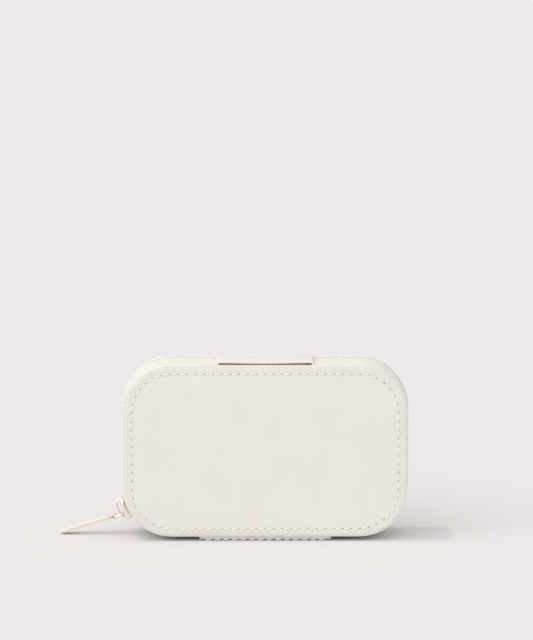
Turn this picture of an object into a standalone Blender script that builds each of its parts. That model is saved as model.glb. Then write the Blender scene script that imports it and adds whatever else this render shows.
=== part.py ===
"""Zip-around jewelry box in pebbled cream leather, standing on its stitched hinge strip.

X runs across the front, the front panel faces -Y, and Z is up. The origin is on the floor,
under the middle of the hinge strip. The front half is the lid. It turns about the strip.
"""
import math

import bmesh
import bpy
from mathutils import Matrix

MM = 0.001

# The rounded outline that every wall, lining, tape and row of teeth follows.
CORNER_X = 50.5 * MM
CORNER_LOW_Z = 28.4 * MM
CORNER_HIGH_Z = 69.8 * MM
CORNER_STEPS = 9

# Radii at the corners, from the outside in. The gap keeps neighbours from touching.
GAP = 0.3 * MM
LEATHER_RADIUS = 27.0 * MM
LEATHER_THICKNESS = 1.0 * MM
BOARD_RADIUS = LEATHER_RADIUS - LEATHER_THICKNESS - GAP
BOARD_THICKNESS = 1.6 * MM
LINING_RADIUS = BOARD_RADIUS - BOARD_THICKNESS - GAP
LINING_THICKNESS = 0.8 * MM
INSIDE_RADIUS = LINING_RADIUS - LINING_THICKNESS

# Depths along Y. The zipper's seam is at y = 0.
FRONT_FACE_Y = -24.0 * MM
BACK_FACE_Y = 20.0 * MM
PANEL_LEATHER = 1.4 * MM
PANEL_BOARD = 1.8 * MM
PANEL_PROUD = 0.4 * MM
WALL_EDGE_Y = 4.2 * MM
LINING_EDGE_Y = 0.5 * MM

# Zipper.
ZIPPER_END_X = 36.3 * MM
TAPE_HALF_THICKNESS = 0.3 * MM
TAPE_Y = (2.0 * MM, 3.9 * MM)
TOOTH_HALF_HEIGHT = 1.0 * MM
TOOTH_Y = (0.45 * MM, 1.7 * MM)
STOP_LENGTH = 2.0 * MM

# Hinge strip and hinge.
HINGE_STRIP_HALF_X = 36.0 * MM
HINGE_STRIP_THICKNESS = 1.1 * MM
HINGE_STRIP_FRONT_Y = -21.5 * MM
HINGE_STRIP_BACK_Y = 17.5 * MM
HINGE_STRIP_SPLIT_Y = -1.0 * MM
HINGE_PIN = (0.0, -1.0 * MM, -0.2 * MM)

# Carry strap on the lid's top wall.
HANDLE_HALF_LENGTH = 26.5 * MM
HANDLE_GRIP_HALF = 22.0 * MM
HANDLE_WIDTH = 15.0 * MM
HANDLE_THICKNESS = 1.8 * MM
HANDLE_Y = -12.5 * MM
HANDLE_LIFT_GAP = 0.5 * MM

# Slider, at this angle below the horizontal on the lower left corner.
SLIDER_ANGLE = math.radians(29.0)
SLIDER_PLATE = (28.7 * MM, 29.9 * MM)
SLIDER_INNER_PLATE = (24.7 * MM, 25.7 * MM)
SLIDER_HALF_WIDTH = 3.6 * MM
SLIDER_HALF_ANGLE = math.radians(12.0)
SLIDER_WEB_HALF = 0.2 * MM
BAIL_CROWN_RADIUS = 33.0 * MM
BAIL_FOOT_RADIUS = 30.85 * MM
BAIL_HALF_ANGLE = math.radians(10.0)
BAIL_WIRE = 0.6 * MM

# Pull: a wire link through the bail and a leather tab folded round the link's far bar.
PULL_ANGLE = math.radians(32.5)
PULL_RADIUS = 31.6 * MM
PULL_DROOP = math.radians(17.7)
LINK_WIRE = 0.5 * MM
LINK_LENGTH = 5.5 * MM
LINK_HALF_WIDTH = 4.35 * MM
TAB_HALF_WIDTH = 3.5 * MM
TAB_THICKNESS = 1.5 * MM
TAB_REACH = 34.5 * MM
TAB_FOLD_RADIUS = 1.35 * MM

# Ring rolls and dividers in the back half.
ROLL_COUNT = 7
ROLL_RADIUS = 4.8 * MM
ROLL_X = (9.0 * MM, 67.0 * MM)
ROLL_LOW_Z = 19.3 * MM
ROLL_PITCH = 9.9 * MM
DIVIDER_X = 5.0 * MM
DIVIDER_THICKNESS = 1.6 * MM
DIVIDER_FRONT_Y = 3.0 * MM
CROSS_Z = 49.0 * MM
SMALL_X = -32.0 * MM

# Mirror, necklace tabs and chain pocket in the lid.
MIRROR_X = (-68.0 * MM, -6.0 * MM)
MIRROR_Z = (16.0 * MM, 82.0 * MM)
MIRROR_BORDER = 3.0 * MM
NECKLACE_X = (2.0 * MM, 66.0 * MM)
NECKLACE_Z = (48.0 * MM, 84.0 * MM)
TAB_CENTRES_X = (14.0 * MM, 34.0 * MM, 54.0 * MM)
SNAP_TAB_WIDTH = 7.0 * MM
SNAP_TAB_Z = (60.0 * MM, 79.5 * MM)
SNAP_HINGE_Z = 79.0 * MM
SNAP_Z = 63.5 * MM
POCKET_X = (4.0 * MM, 64.0 * MM)
POCKET_Z = (12.5 * MM, 42.0 * MM)
POCKET_WALL = 0.8 * MM
POCKET_DEPTH = 6.5 * MM

# Colours as linear RGB.
CREAM_LEATHER = (0.82, 0.76, 0.70)
LINING_CREAM = (0.78, 0.70, 0.62)
BOARD_BROWN = (0.30, 0.22, 0.15)
TAPE_BEIGE = (0.80, 0.71, 0.63)
TOOTH_CREAM = (0.84, 0.74, 0.65)
PALE_GOLD = (0.80, 0.62, 0.40)
MIRROR_GREY = (0.85, 0.87, 0.88)


def clear_scene():
    """Remove every object, so the script starts from nothing."""
    for item in list(bpy.data.objects):
        bpy.data.objects.remove(item, do_unlink=True)


def new_collection(name, wireframe=False):
    """Make a collection in the scene; a wireframe one holds cutters."""
    collection = bpy.data.collections.new(name)
    bpy.context.scene.collection.children.link(collection)
    collection.hide_render = wireframe
    return collection


def new_material(name, colour, roughness, metallic=0.0):
    """Make a Principled material."""
    material = bpy.data.materials.new(name)
    material.use_nodes = True
    shader = material.node_tree.nodes["Principled BSDF"]
    shader.inputs["Base Color"].default_value = (*colour, 1.0)
    shader.inputs["Roughness"].default_value = roughness
    shader.inputs["Metallic"].default_value = metallic
    material.diffuse_color = (*colour, 1.0)
    return material


def corner_arc(centre_x, centre_z, radius, start, turn=-math.pi / 2):
    """Return the points of a quarter arc, both ends included."""
    points = []
    for step in range(CORNER_STEPS + 1):
        angle = start + turn * step / CORNER_STEPS
        points.append((centre_x + radius * math.cos(angle), centre_z + radius * math.sin(angle)))
    return points


def case_outline(radius):
    """Return the case's closed outline for one corner radius."""
    return (
        corner_arc(-CORNER_X, CORNER_LOW_Z, radius, -math.pi / 2)
        + corner_arc(-CORNER_X, CORNER_HIGH_Z, radius, math.pi)
        + corner_arc(CORNER_X, CORNER_HIGH_Z, radius, math.pi / 2)
        + corner_arc(CORNER_X, CORNER_LOW_Z, radius, 0.0)
    )


def zipper_band(inner_radius, outer_radius, end_x):
    """Return the outline of a band round the case, open between its two ends at the bottom."""
    outer = [(-end_x, CORNER_LOW_Z - outer_radius)] + case_outline(outer_radius)
    outer.append((end_x, CORNER_LOW_Z - outer_radius))
    inner = [(-end_x, CORNER_LOW_Z - inner_radius)] + case_outline(inner_radius)
    inner.append((end_x, CORNER_LOW_Z - inner_radius))
    return outer + inner[::-1]


def slider_sector(inner_radius, outer_radius, half_angle, steps=4):
    """Return the outline of a plate that follows the lower left corner, at the slider."""
    middle = math.pi + SLIDER_ANGLE
    angles = [middle - half_angle + 2 * half_angle * step / steps for step in range(steps + 1)]
    outer = [polar_point(outer_radius, angle) for angle in angles]
    inner = [polar_point(inner_radius, angle) for angle in angles]
    return outer + inner[::-1]


def polar_point(radius, angle):
    """Return the point at an angle and a radius round the lower left corner's centre."""
    return (-CORNER_X + radius * math.cos(angle), CORNER_LOW_Z + radius * math.sin(angle))


def circle_outline(centre_x, centre_z, radius, steps=16):
    """Return a closed circle of points."""
    angles = [2 * math.pi * step / steps for step in range(steps)]
    return [(centre_x + radius * math.cos(a), centre_z + radius * math.sin(a)) for a in angles]


def curve_from_outlines(name, outlines, fill_mode, half_depth):
    """Make a flat 2D curve from closed outlines, extruded half its depth each way."""
    curve = bpy.data.curves.new(name, "CURVE")
    curve.dimensions = "2D"
    curve.fill_mode = fill_mode
    curve.extrude = half_depth
    for outline in outlines:
        spline = curve.splines.new("POLY")
        spline.points.add(len(outline) - 1)
        for point, (across, up) in zip(spline.points, outline):
            point.co = (across, up, 0.0, 1.0)
        spline.use_cyclic_u = True
    return curve


def mesh_from_curve(name, curve):
    """Turn a curve into a welded mesh that stands in the XZ plane, and remove the curve."""
    holder = bpy.data.objects.new(name, curve)
    bpy.context.scene.collection.objects.link(holder)
    bpy.context.view_layer.update()
    graph = bpy.context.evaluated_depsgraph_get()
    mesh = bpy.data.meshes.new_from_object(holder.evaluated_get(graph))
    bpy.data.objects.remove(holder, do_unlink=True)
    bpy.data.curves.remove(curve)
    mesh.name = name
    shape = bmesh.new()
    shape.from_mesh(mesh)
    bmesh.ops.remove_doubles(shape, verts=shape.verts, dist=0.00001)
    bmesh.ops.dissolve_limit(shape, angle_limit=math.radians(0.5), verts=shape.verts, edges=shape.edges)
    bmesh.ops.recalc_face_normals(shape, faces=shape.faces)
    shape.to_mesh(mesh)
    shape.free()
    mesh.transform(Matrix.Rotation(math.pi / 2, 4, "X"))
    return mesh


class Builder:
    """Keeps the collections and materials while the sub-parts are made."""

    def __init__(self):
        self.parts = new_collection("jewelry_box")
        self.cutters = new_collection("cutters", wireframe=True)
        self.materials = {
            "leather": new_material("leather", CREAM_LEATHER, 0.55),
            "lining": new_material("lining", LINING_CREAM, 0.9),
            "board": new_material("board", BOARD_BROWN, 0.9),
            "tape": new_material("tape", TAPE_BEIGE, 0.85),
            "teeth": new_material("teeth", TOOTH_CREAM, 0.4),
            "gold": new_material("gold", PALE_GOLD, 0.25, 1.0),
            "mirror": new_material("mirror", MIRROR_GREY, 0.05, 1.0),
        }

    def add(self, name, mesh, material, location=(0.0, 0.0, 0.0)):
        """Make one named sub-part from a mesh."""
        item = bpy.data.objects.new(name, mesh)
        item.location = location
        mesh.materials.clear()
        mesh.materials.append(self.materials[material])
        self.parts.objects.link(item)
        return item

    def plate(self, name, outlines, y_range, material):
        """Make a flat plate from outlines in the XZ plane; a second outline is a hole."""
        low, high = y_range
        curve = curve_from_outlines(name, outlines, "BOTH", (high - low) / 2)
        mesh = mesh_from_curve(name, curve)
        return self.add(name, mesh, material, (0.0, (low + high) / 2, 0.0))

    def ring_wall(self, name, radius, thickness, y_range, material):
        """Make a wall that follows the case's outline, solidified inwards."""
        low, high = y_range
        curve = curve_from_outlines(name, [case_outline(radius)], "NONE", (high - low) / 2)
        mesh = mesh_from_curve(name, curve)
        item = self.add(name, mesh, material, (0.0, (low + high) / 2, 0.0))
        solid = item.modifiers.new("thickness", "SOLIDIFY")
        solid.thickness = thickness
        solid.offset = -1.0
        solid.use_even_offset = True
        return item

    def box(self, name, x_range, y_range, z_range, material, round_edges=0.0):
        """Make a box from its limits, with rounded edges if asked."""
        limits = (x_range, y_range, z_range)
        centre = [(low + high) / 2 for low, high in limits]
        mesh = box_mesh(name, [high - low for low, high in limits])
        item = self.add(name, mesh, material, centre)
        if round_edges > 0:
            soften(item, round_edges)
        return item

    def cutter_box(self, name, x_range, y_range, z_range):
        """Make a box that cuts other sub-parts."""
        limits = (x_range, y_range, z_range)
        item = bpy.data.objects.new(name, box_mesh(name, [high - low for low, high in limits]))
        item.location = [(low + high) / 2 for low, high in limits]
        return self.keep_cutter(item)

    def keep_cutter(self, item):
        """Move an object into the cutters' collection, drawn as wire."""
        for collection in list(item.users_collection):
            collection.objects.unlink(item)
        self.cutters.objects.link(item)
        item.display_type = "WIRE"
        item.hide_render = True
        return item

    def pin_disc(self, name, centre, radius, thickness, material, steps=20):
        """Make a short cylinder along Y with rounded rims."""
        mesh = bpy.data.meshes.new(name)
        shape = bmesh.new()
        bmesh.ops.create_cone(shape, cap_ends=True, segments=steps, radius1=radius,
                              radius2=radius, depth=thickness)
        shape.to_mesh(mesh)
        shape.free()
        item = self.add(name, mesh, material, centre)
        item.rotation_euler = (math.pi / 2, 0.0, 0.0)
        soften(item, thickness * 0.3, segments=1)
        return item

    def empty(self, name, location):
        """Make an empty that marks a joint's axis."""
        item = bpy.data.objects.new(name, None)
        item.location = location
        item.empty_display_size = 0.01
        self.parts.objects.link(item)
        return item


def box_mesh(name, size):
    """Return a box mesh of a given size, centred on its origin."""
    mesh = bpy.data.meshes.new(name)
    shape = bmesh.new()
    bmesh.ops.create_cube(shape, size=1.0)
    bmesh.ops.scale(shape, verts=shape.verts, vec=size)
    shape.to_mesh(mesh)
    shape.free()
    return mesh


def soften(item, width, segments=2):
    """Round an object's sharp edges."""
    bevel = item.modifiers.new("soft_edges", "BEVEL")
    bevel.width = width
    bevel.segments = segments
    bevel.limit_method = "ANGLE"
    bevel.angle_limit = math.radians(40)


def cut(item, cutter):
    """Subtract a cutter from an object."""
    boolean = item.modifiers.new(cutter.name, "BOOLEAN")
    boolean.operation = "DIFFERENCE"
    boolean.solver = "EXACT"
    boolean.object = cutter


def smooth(item):
    """Shade an object smooth except at its sharp edges."""
    for face in item.data.polygons:
        face.use_smooth = True
    for edge in item.data.edges:
        edge.use_edge_sharp = False
    item.data.set_sharp_from_angle(angle=math.radians(35))


def world_location(item):
    """Return the place of an object under parents that aren't rotated."""
    place = item.location.copy()
    parent = item.parent
    while parent is not None:
        place = place + parent.location
        parent = parent.parent
    return place


def attach(items, parent):
    """Parent objects to an empty and leave them where they are."""
    offset = world_location(parent)
    for item in items:
        item.parent = parent
        item.location = item.location - offset


def wire(builder, name, points, radius, material, closed):
    """Make a round wire through points, with filled ends if it is open."""
    curve = bpy.data.curves.new(name, "CURVE")
    curve.dimensions = "3D"
    curve.bevel_depth = radius
    curve.bevel_resolution = 2
    curve.use_fill_caps = not closed
    spline = curve.splines.new("POLY")
    spline.points.add(len(points) - 1)
    for point, place in zip(spline.points, points):
        point.co = (*place, 1.0)
    spline.use_cyclic_u = closed
    item = bpy.data.objects.new(name, curve)
    curve.materials.append(builder.materials[material])
    builder.parts.objects.link(item)
    return item


def make_half(builder, side, outer_y, seam_sign):
    """Make the panel, walls, lining and zipper side of one half of the case.

    seam_sign is -1 for the front half and +1 for the back half.
    """
    def depth(start, thickness):
        """Return a Y range that starts at a depth inside the outer face."""
        near = outer_y - seam_sign * start
        far = near - seam_sign * thickness
        return (min(near, far), max(near, far))

    def seam_range(near, far):
        """Return a Y range on this half's side of the seam."""
        return (min(seam_sign * near, seam_sign * far), max(seam_sign * near, seam_sign * far))

    panel_radius = LEATHER_RADIUS - LEATHER_THICKNESS - GAP
    leather = builder.plate(side + "_panel_leather", [case_outline(panel_radius)],
                            depth(0.0, PANEL_LEATHER), "leather")
    soften(leather, 0.5 * MM)
    board = builder.plate(side + "_panel_board", [case_outline(LINING_RADIUS)],
                          depth(PANEL_LEATHER + GAP, PANEL_BOARD), "board")

    wall_reach = seam_sign * outer_y - PANEL_PROUD
    wall = builder.ring_wall(side + "_wall_leather", LEATHER_RADIUS, LEATHER_THICKNESS,
                             seam_range(WALL_EDGE_Y, wall_reach), "leather")
    soften(wall, 0.3 * MM)
    board_reach = seam_sign * outer_y - PANEL_LEATHER - GAP
    wall_board = builder.ring_wall(side + "_wall_board", BOARD_RADIUS, BOARD_THICKNESS,
                                   seam_range(WALL_EDGE_Y, board_reach), "board")

    floor_start = PANEL_LEATHER + PANEL_BOARD + 2 * GAP
    floor_y = seam_sign * outer_y - floor_start
    lining = builder.plate(side + "_lining", [case_outline(LINING_RADIUS)],
                           seam_range(LINING_EDGE_Y, floor_y), "lining")
    hollow = builder.plate(side + "_lining_hollow", [case_outline(INSIDE_RADIUS)],
                           seam_range(-LINING_EDGE_Y, floor_y - LINING_THICKNESS), "lining")
    builder.keep_cutter(hollow)
    cut(lining, hollow)

    tape = builder.plate(side + "_zipper_tape",
                         [zipper_band(LEATHER_RADIUS - TAPE_HALF_THICKNESS,
                                      LEATHER_RADIUS + TAPE_HALF_THICKNESS, ZIPPER_END_X)],
                         seam_range(*TAPE_Y), "tape")
    tooth_end = ZIPPER_END_X + STOP_LENGTH + GAP
    teeth = builder.plate(side + "_teeth",
                          [zipper_band(LEATHER_RADIUS - TOOTH_HALF_HEIGHT,
                                       LEATHER_RADIUS + TOOTH_HALF_HEIGHT, tooth_end)],
                          seam_range(*TOOTH_Y), "teeth")
    stops = make_stops(builder, side, seam_range(*TOOTH_Y))
    for item in (leather, wall, lining, tape, teeth):
        smooth(item)
    pieces = [leather, board, wall, wall_board, lining, tape, teeth] + stops
    return pieces, (wall, wall_board)


def make_stops(builder, side, y_range):
    """Make the two end stops of one side of the zipper."""
    low_z = CORNER_LOW_Z - LEATHER_RADIUS - TOOTH_HALF_HEIGHT
    height = (low_z, low_z + 2 * TOOTH_HALF_HEIGHT)
    left = builder.box(side + "_stop_left", (-ZIPPER_END_X - STOP_LENGTH, -ZIPPER_END_X),
                       y_range, height, "gold")
    right = builder.box(side + "_stop_right", (ZIPPER_END_X, ZIPPER_END_X + STOP_LENGTH),
                        y_range, height, "gold")
    return [left, right]


def make_hinge_strip(builder):
    """Make the two halves of the strip that joins the lid to the back half."""
    across = (-HINGE_STRIP_HALF_X, HINGE_STRIP_HALF_X)
    height = (0.0, HINGE_STRIP_THICKNESS)
    back = builder.box("hinge_strip_back", across,
                       (HINGE_STRIP_SPLIT_Y + GAP / 2, HINGE_STRIP_BACK_Y), height, "leather")
    front = builder.box("hinge_strip_front", across,
                        (HINGE_STRIP_FRONT_Y, HINGE_STRIP_SPLIT_Y - GAP / 2), height, "leather")
    return back, front


def make_handle(builder, wall, wall_board):
    """Make the carry strap: a grip that lifts and two ends held in slits of the top wall."""
    half_width = HANDLE_WIDTH / 2
    top_z = CORNER_HIGH_Z + LEATHER_RADIUS
    low = top_z + HANDLE_LIFT_GAP
    high = low + HANDLE_THICKNESS
    strap_y = (HANDLE_Y - half_width, HANDLE_Y + half_width)
    grip = builder.box("handle_grip", (-HANDLE_GRIP_HALF, HANDLE_GRIP_HALF), strap_y,
                       (low, high), "leather", 0.3 * MM)

    outer = HANDLE_HALF_LENGTH
    inner = HANDLE_GRIP_HALF + GAP
    foot = outer - HANDLE_THICKNESS
    root_z = CORNER_HIGH_Z + LINING_RADIUS + GAP
    ends = []
    for sign, label in ((-1, "left"), (1, "right")):
        profile = [(outer, root_z), (outer, high), (inner, high), (inner, low), (foot, low), (foot, root_z)]
        end = builder.plate("handle_end_" + label, [[(sign * x, z) for x, z in profile]],
                            strap_y, "leather")
        ends.append(end)

    for sign, label in ((-1, "left"), (1, "right")):
        limits = sorted((sign * (foot - GAP), sign * (outer + GAP)))
        slit = builder.cutter_box("handle_slit_" + label, limits,
                                  (strap_y[0] - GAP, strap_y[1] + GAP),
                                  (root_z - 2 * GAP, top_z + HANDLE_THICKNESS))
        cut(wall, slit)
        cut(wall_board, slit)
    return grip, ends


def make_slider(builder):
    """Make the slider: an outer plate, a thin web in the seam and an inner plate."""
    plate_middle = sum(SLIDER_PLATE) / 2
    inner_middle = sum(SLIDER_INNER_PLATE) / 2
    body = builder.plate("slider_body", [slider_sector(*SLIDER_PLATE, SLIDER_HALF_ANGLE)],
                         (-SLIDER_HALF_WIDTH, SLIDER_HALF_WIDTH), "gold")
    web = builder.plate("slider_web", [slider_sector(inner_middle, plate_middle, SLIDER_HALF_ANGLE * 0.7)],
                        (-SLIDER_WEB_HALF, SLIDER_WEB_HALF), "gold")
    inner = builder.plate("slider_inner", [slider_sector(*SLIDER_INNER_PLATE, SLIDER_HALF_ANGLE * 0.9)],
                          (-SLIDER_HALF_WIDTH, SLIDER_HALF_WIDTH), "gold")
    for piece in (web, inner):
        builder.keep_cutter(piece)
        joined = body.modifiers.new(piece.name, "BOOLEAN")
        joined.operation = "UNION"
        joined.solver = "EXACT"
        joined.object = piece

    middle = math.pi + SLIDER_ANGLE
    arch = [(-1.0, BAIL_FOOT_RADIUS), (-1.0, BAIL_CROWN_RADIUS - 1.2 * MM),
            (-0.86, BAIL_CROWN_RADIUS - 0.35 * MM), (-0.6, BAIL_CROWN_RADIUS)]
    arch = arch + [(-share, radius) for share, radius in arch[::-1]]
    route = []
    for share, radius in arch:
        across, up = polar_point(radius, middle + share * BAIL_HALF_ANGLE)
        route.append((across, 0.0, up))
    bail = wire(builder, "slider_bail", route, BAIL_WIRE, "gold", closed=False)
    return [body, bail]


def make_pull(builder):
    """Make the pull: a wire link, the leather tab folded round it, and the tab's rivet."""
    pin_x, pin_z = polar_point(PULL_RADIUS, math.pi + PULL_ANGLE)
    axis = builder.empty("pull_axis", (pin_x, 0.0, pin_z))
    axis.rotation_euler = (0.0, -PULL_DROOP, 0.0)

    corner = 0.8 * MM
    link_points = []
    for x_sign, y_sign in ((0, -1), (0, 1), (1, 1), (1, -1)):
        edge_x = -LINK_LENGTH * x_sign
        edge_y = LINK_HALF_WIDTH * y_sign
        inward = corner if x_sign else -corner
        near_bar = (edge_x, edge_y - y_sign * corner, 0.0)
        near_side = (edge_x + inward, edge_y, 0.0)
        pair = (near_bar, near_side) if (x_sign + (y_sign > 0)) == 1 else (near_side, near_bar)
        link_points.extend(pair)
    link = wire(builder, "pull_link", link_points, LINK_WIRE, "gold", closed=True)

    half = TAB_THICKNESS / 2
    meet = math.asin(half / TAB_FOLD_RADIUS)
    fold = []
    for step in range(11):
        angle = math.pi - meet - (2 * math.pi - 2 * meet) * step / 10
        fold.append((-LINK_LENGTH + TAB_FOLD_RADIUS * math.cos(angle), TAB_FOLD_RADIUS * math.sin(angle)))
    tip = -TAB_REACH
    outline = fold + [(tip + half, -half), (tip, -half * 0.4), (tip, half * 0.4), (tip + half, half)]
    hole = circle_outline(-LINK_LENGTH, 0.0, LINK_WIRE + GAP, 10)
    tab = builder.plate("pull_tab", [outline, hole], (-TAB_HALF_WIDTH, TAB_HALF_WIDTH), "leather")

    rivet_mesh = bpy.data.meshes.new("pull_rivet")
    shape = bmesh.new()
    bmesh.ops.create_cone(shape, cap_ends=True, segments=16, radius1=1.3 * MM, radius2=1.0 * MM,
                          depth=0.5 * MM)
    shape.to_mesh(rivet_mesh)
    shape.free()
    rivet = builder.add("pull_rivet", rivet_mesh, "gold",
                        (-LINK_LENGTH - 4.5 * MM, 0.0, half + GAP + 0.25 * MM))
    for item in (link, tab, rivet):
        item.parent = axis
    smooth(rivet)
    return axis


def make_ring_rolls(builder):
    """Make the padded rolls that grip rings, stacked on the right of the back half."""
    floor_y = BACK_FACE_Y - PANEL_LEATHER - PANEL_BOARD - 2 * GAP - LINING_THICKNESS
    rolls = []
    for number in range(ROLL_COUNT):
        name = "ring_roll_" + str(number + 1)
        mesh = bpy.data.meshes.new(name)
        shape = bmesh.new()
        bmesh.ops.create_cone(shape, cap_ends=True, segments=18, radius1=ROLL_RADIUS,
                              radius2=ROLL_RADIUS, depth=ROLL_X[1] - ROLL_X[0])
        shape.to_mesh(mesh)
        shape.free()
        place = (sum(ROLL_X) / 2, floor_y - GAP - ROLL_RADIUS, ROLL_LOW_Z + number * ROLL_PITCH)
        roll = builder.add(name, mesh, "lining", place)
        roll.rotation_euler = (0.0, math.pi / 2, 0.0)
        soften(roll, 1.2 * MM, segments=2)
        smooth(roll)
        rolls.append(roll)
    return rolls


def make_dividers(builder):
    """Make the walls between the trays of the back half."""
    floor_y = BACK_FACE_Y - PANEL_LEATHER - PANEL_BOARD - 2 * GAP - LINING_THICKNESS
    depth = (DIVIDER_FRONT_Y, floor_y - GAP)
    half = DIVIDER_THICKNESS / 2
    low = CORNER_LOW_Z - INSIDE_RADIUS + GAP
    high = CORNER_HIGH_Z + INSIDE_RADIUS - GAP
    left = -CORNER_X - INSIDE_RADIUS + GAP
    main = builder.box("divider_main", (DIVIDER_X - half, DIVIDER_X + half), depth, (low, high),
                       "lining", 0.3 * MM)
    cross = builder.box("divider_cross", (left, DIVIDER_X - half - GAP), depth,
                        (CROSS_Z - half, CROSS_Z + half), "lining", 0.3 * MM)
    small = builder.box("divider_small", (SMALL_X - half, SMALL_X + half), depth,
                        (CROSS_Z + half + GAP, high), "lining", 0.3 * MM)
    return [main, cross, small]


def make_mirror(builder, floor_y):
    """Make the mirror and its padded frame on the lid's inner face."""
    start = floor_y + GAP
    outer = rectangle(MIRROR_X, MIRROR_Z, 0.0)
    inner = rectangle(MIRROR_X, MIRROR_Z, MIRROR_BORDER)
    glass = rectangle(MIRROR_X, MIRROR_Z, MIRROR_BORDER + GAP)
    frame = builder.plate("mirror_frame", [outer, inner], (start, start + 2.2 * MM), "leather")
    mirror = builder.plate("mirror", [glass], (start, start + 1.5 * MM), "mirror")
    return [frame, mirror]


def rectangle(x_range, z_range, inset):
    """Return a rectangle's corners, moved inwards by an inset."""
    left, right = x_range[0] + inset, x_range[1] - inset
    low, high = z_range[0] + inset, z_range[1] - inset
    return [(left, low), (right, low), (right, high), (left, high)]


def make_necklace_holder(builder, floor_y, lid):
    """Make the padded panel, its rail, the snap sockets and the three snap tabs."""
    panel_y = (floor_y + GAP, floor_y + GAP + 2.0 * MM)
    panel = builder.box("necklace_panel", NECKLACE_X, panel_y, NECKLACE_Z, "leather", 0.6 * MM)
    socket_y = panel_y[1] + GAP + 0.5 * MM
    tab_y = (socket_y + 0.5 * MM + GAP, socket_y + 1.5 * MM + GAP)
    half = SNAP_TAB_WIDTH / 2
    rail = builder.box("necklace_rail",
                       (TAB_CENTRES_X[0] - half - 4 * MM, TAB_CENTRES_X[-1] + half + 4 * MM),
                       (panel_y[1] + GAP, tab_y[1]), (SNAP_TAB_Z[1] + GAP, NECKLACE_Z[1] - 0.7 * MM),
                       "leather", 0.3 * MM)
    fixed = [panel, rail]
    for number, centre_x in enumerate(TAB_CENTRES_X, start=1):
        socket = builder.pin_disc("snap_socket_" + str(number), (centre_x, socket_y, SNAP_Z),
                                  2.0 * MM, 1.0 * MM, "gold")
        fixed.append(socket)
        axis = builder.empty("necklace_tab_axis_" + str(number),
                             (centre_x, sum(tab_y) / 2, SNAP_HINGE_Z))
        tab = builder.box("necklace_tab_" + str(number), (centre_x - half, centre_x + half), tab_y,
                          SNAP_TAB_Z, "leather", 0.3 * MM)
        cap = builder.pin_disc("snap_cap_" + str(number), (centre_x, tab_y[1] + GAP + 0.45 * MM, SNAP_Z),
                               2.4 * MM, 0.9 * MM, "gold")
        attach([tab, cap], axis)
        attach([axis], lid)
    return fixed


def make_pocket(builder, floor_y):
    """Make the gathered pocket for chains, open at the top, and its elastic band."""
    near = floor_y + GAP
    far = near + POCKET_DEPTH
    pocket = builder.box("chain_pocket", POCKET_X, (near, far), POCKET_Z, "lining")
    hollow = builder.cutter_box("chain_pocket_hollow",
                                (POCKET_X[0] + POCKET_WALL, POCKET_X[1] - POCKET_WALL),
                                (near - POCKET_WALL, far - POCKET_WALL),
                                (POCKET_Z[0] + POCKET_WALL, POCKET_Z[1] + POCKET_WALL))
    cut(pocket, hollow)
    band = builder.box("pocket_elastic", POCKET_X, (far - POCKET_WALL - 0.2 * MM, far + 0.2 * MM),
                       (POCKET_Z[1] + GAP, POCKET_Z[1] + GAP + 2.2 * MM), "lining", 0.3 * MM)
    return [pocket, band]


def main():
    """Build the whole box."""
    clear_scene()
    builder = Builder()
    lid = builder.empty("lid_axis", HINGE_PIN)

    make_half(builder, "back", BACK_FACE_Y, 1)
    front, (wall, wall_board) = make_half(builder, "front", FRONT_FACE_Y, -1)
    hinge_front = make_hinge_strip(builder)[1]
    grip, ends = make_handle(builder, wall, wall_board)
    for label in ("left", "right"):
        attach([bpy.data.objects["handle_slit_" + label]], lid)
    attach([bpy.data.objects["front_lining_hollow"]], lid)

    slider_axis = builder.empty("slider_axis", (-CORNER_X, 0.0, CORNER_LOW_Z))
    slider = make_slider(builder)
    attach(slider + [bpy.data.objects["slider_web"], bpy.data.objects["slider_inner"]], slider_axis)
    attach([make_pull(builder)], slider_axis)

    make_ring_rolls(builder)
    make_dividers(builder)

    lid_floor = FRONT_FACE_Y + PANEL_LEATHER + PANEL_BOARD + 2 * GAP + LINING_THICKNESS
    attach(front + ends + [hinge_front, grip], lid)
    attach(make_mirror(builder, lid_floor) + make_pocket(builder, lid_floor), lid)
    attach(make_necklace_holder(builder, lid_floor, lid), lid)
    attach([bpy.data.objects["chain_pocket_hollow"]], lid)


main()
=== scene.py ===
"""Look model of a zip-around jewelry box in cream leather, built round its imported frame.

X runs across the front, the front panel faces -Y and Z is up, in metres. The front half is
the lid. It turns about the leather strip that the box stands on.
"""
from __future__ import annotations

import logging
import math
from contextlib import contextmanager
from dataclasses import dataclass, field
from enum import Enum
from typing import Callable, Iterable, Iterator, Sequence

import bpy
from mathutils import Matrix, Vector, noise

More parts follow.
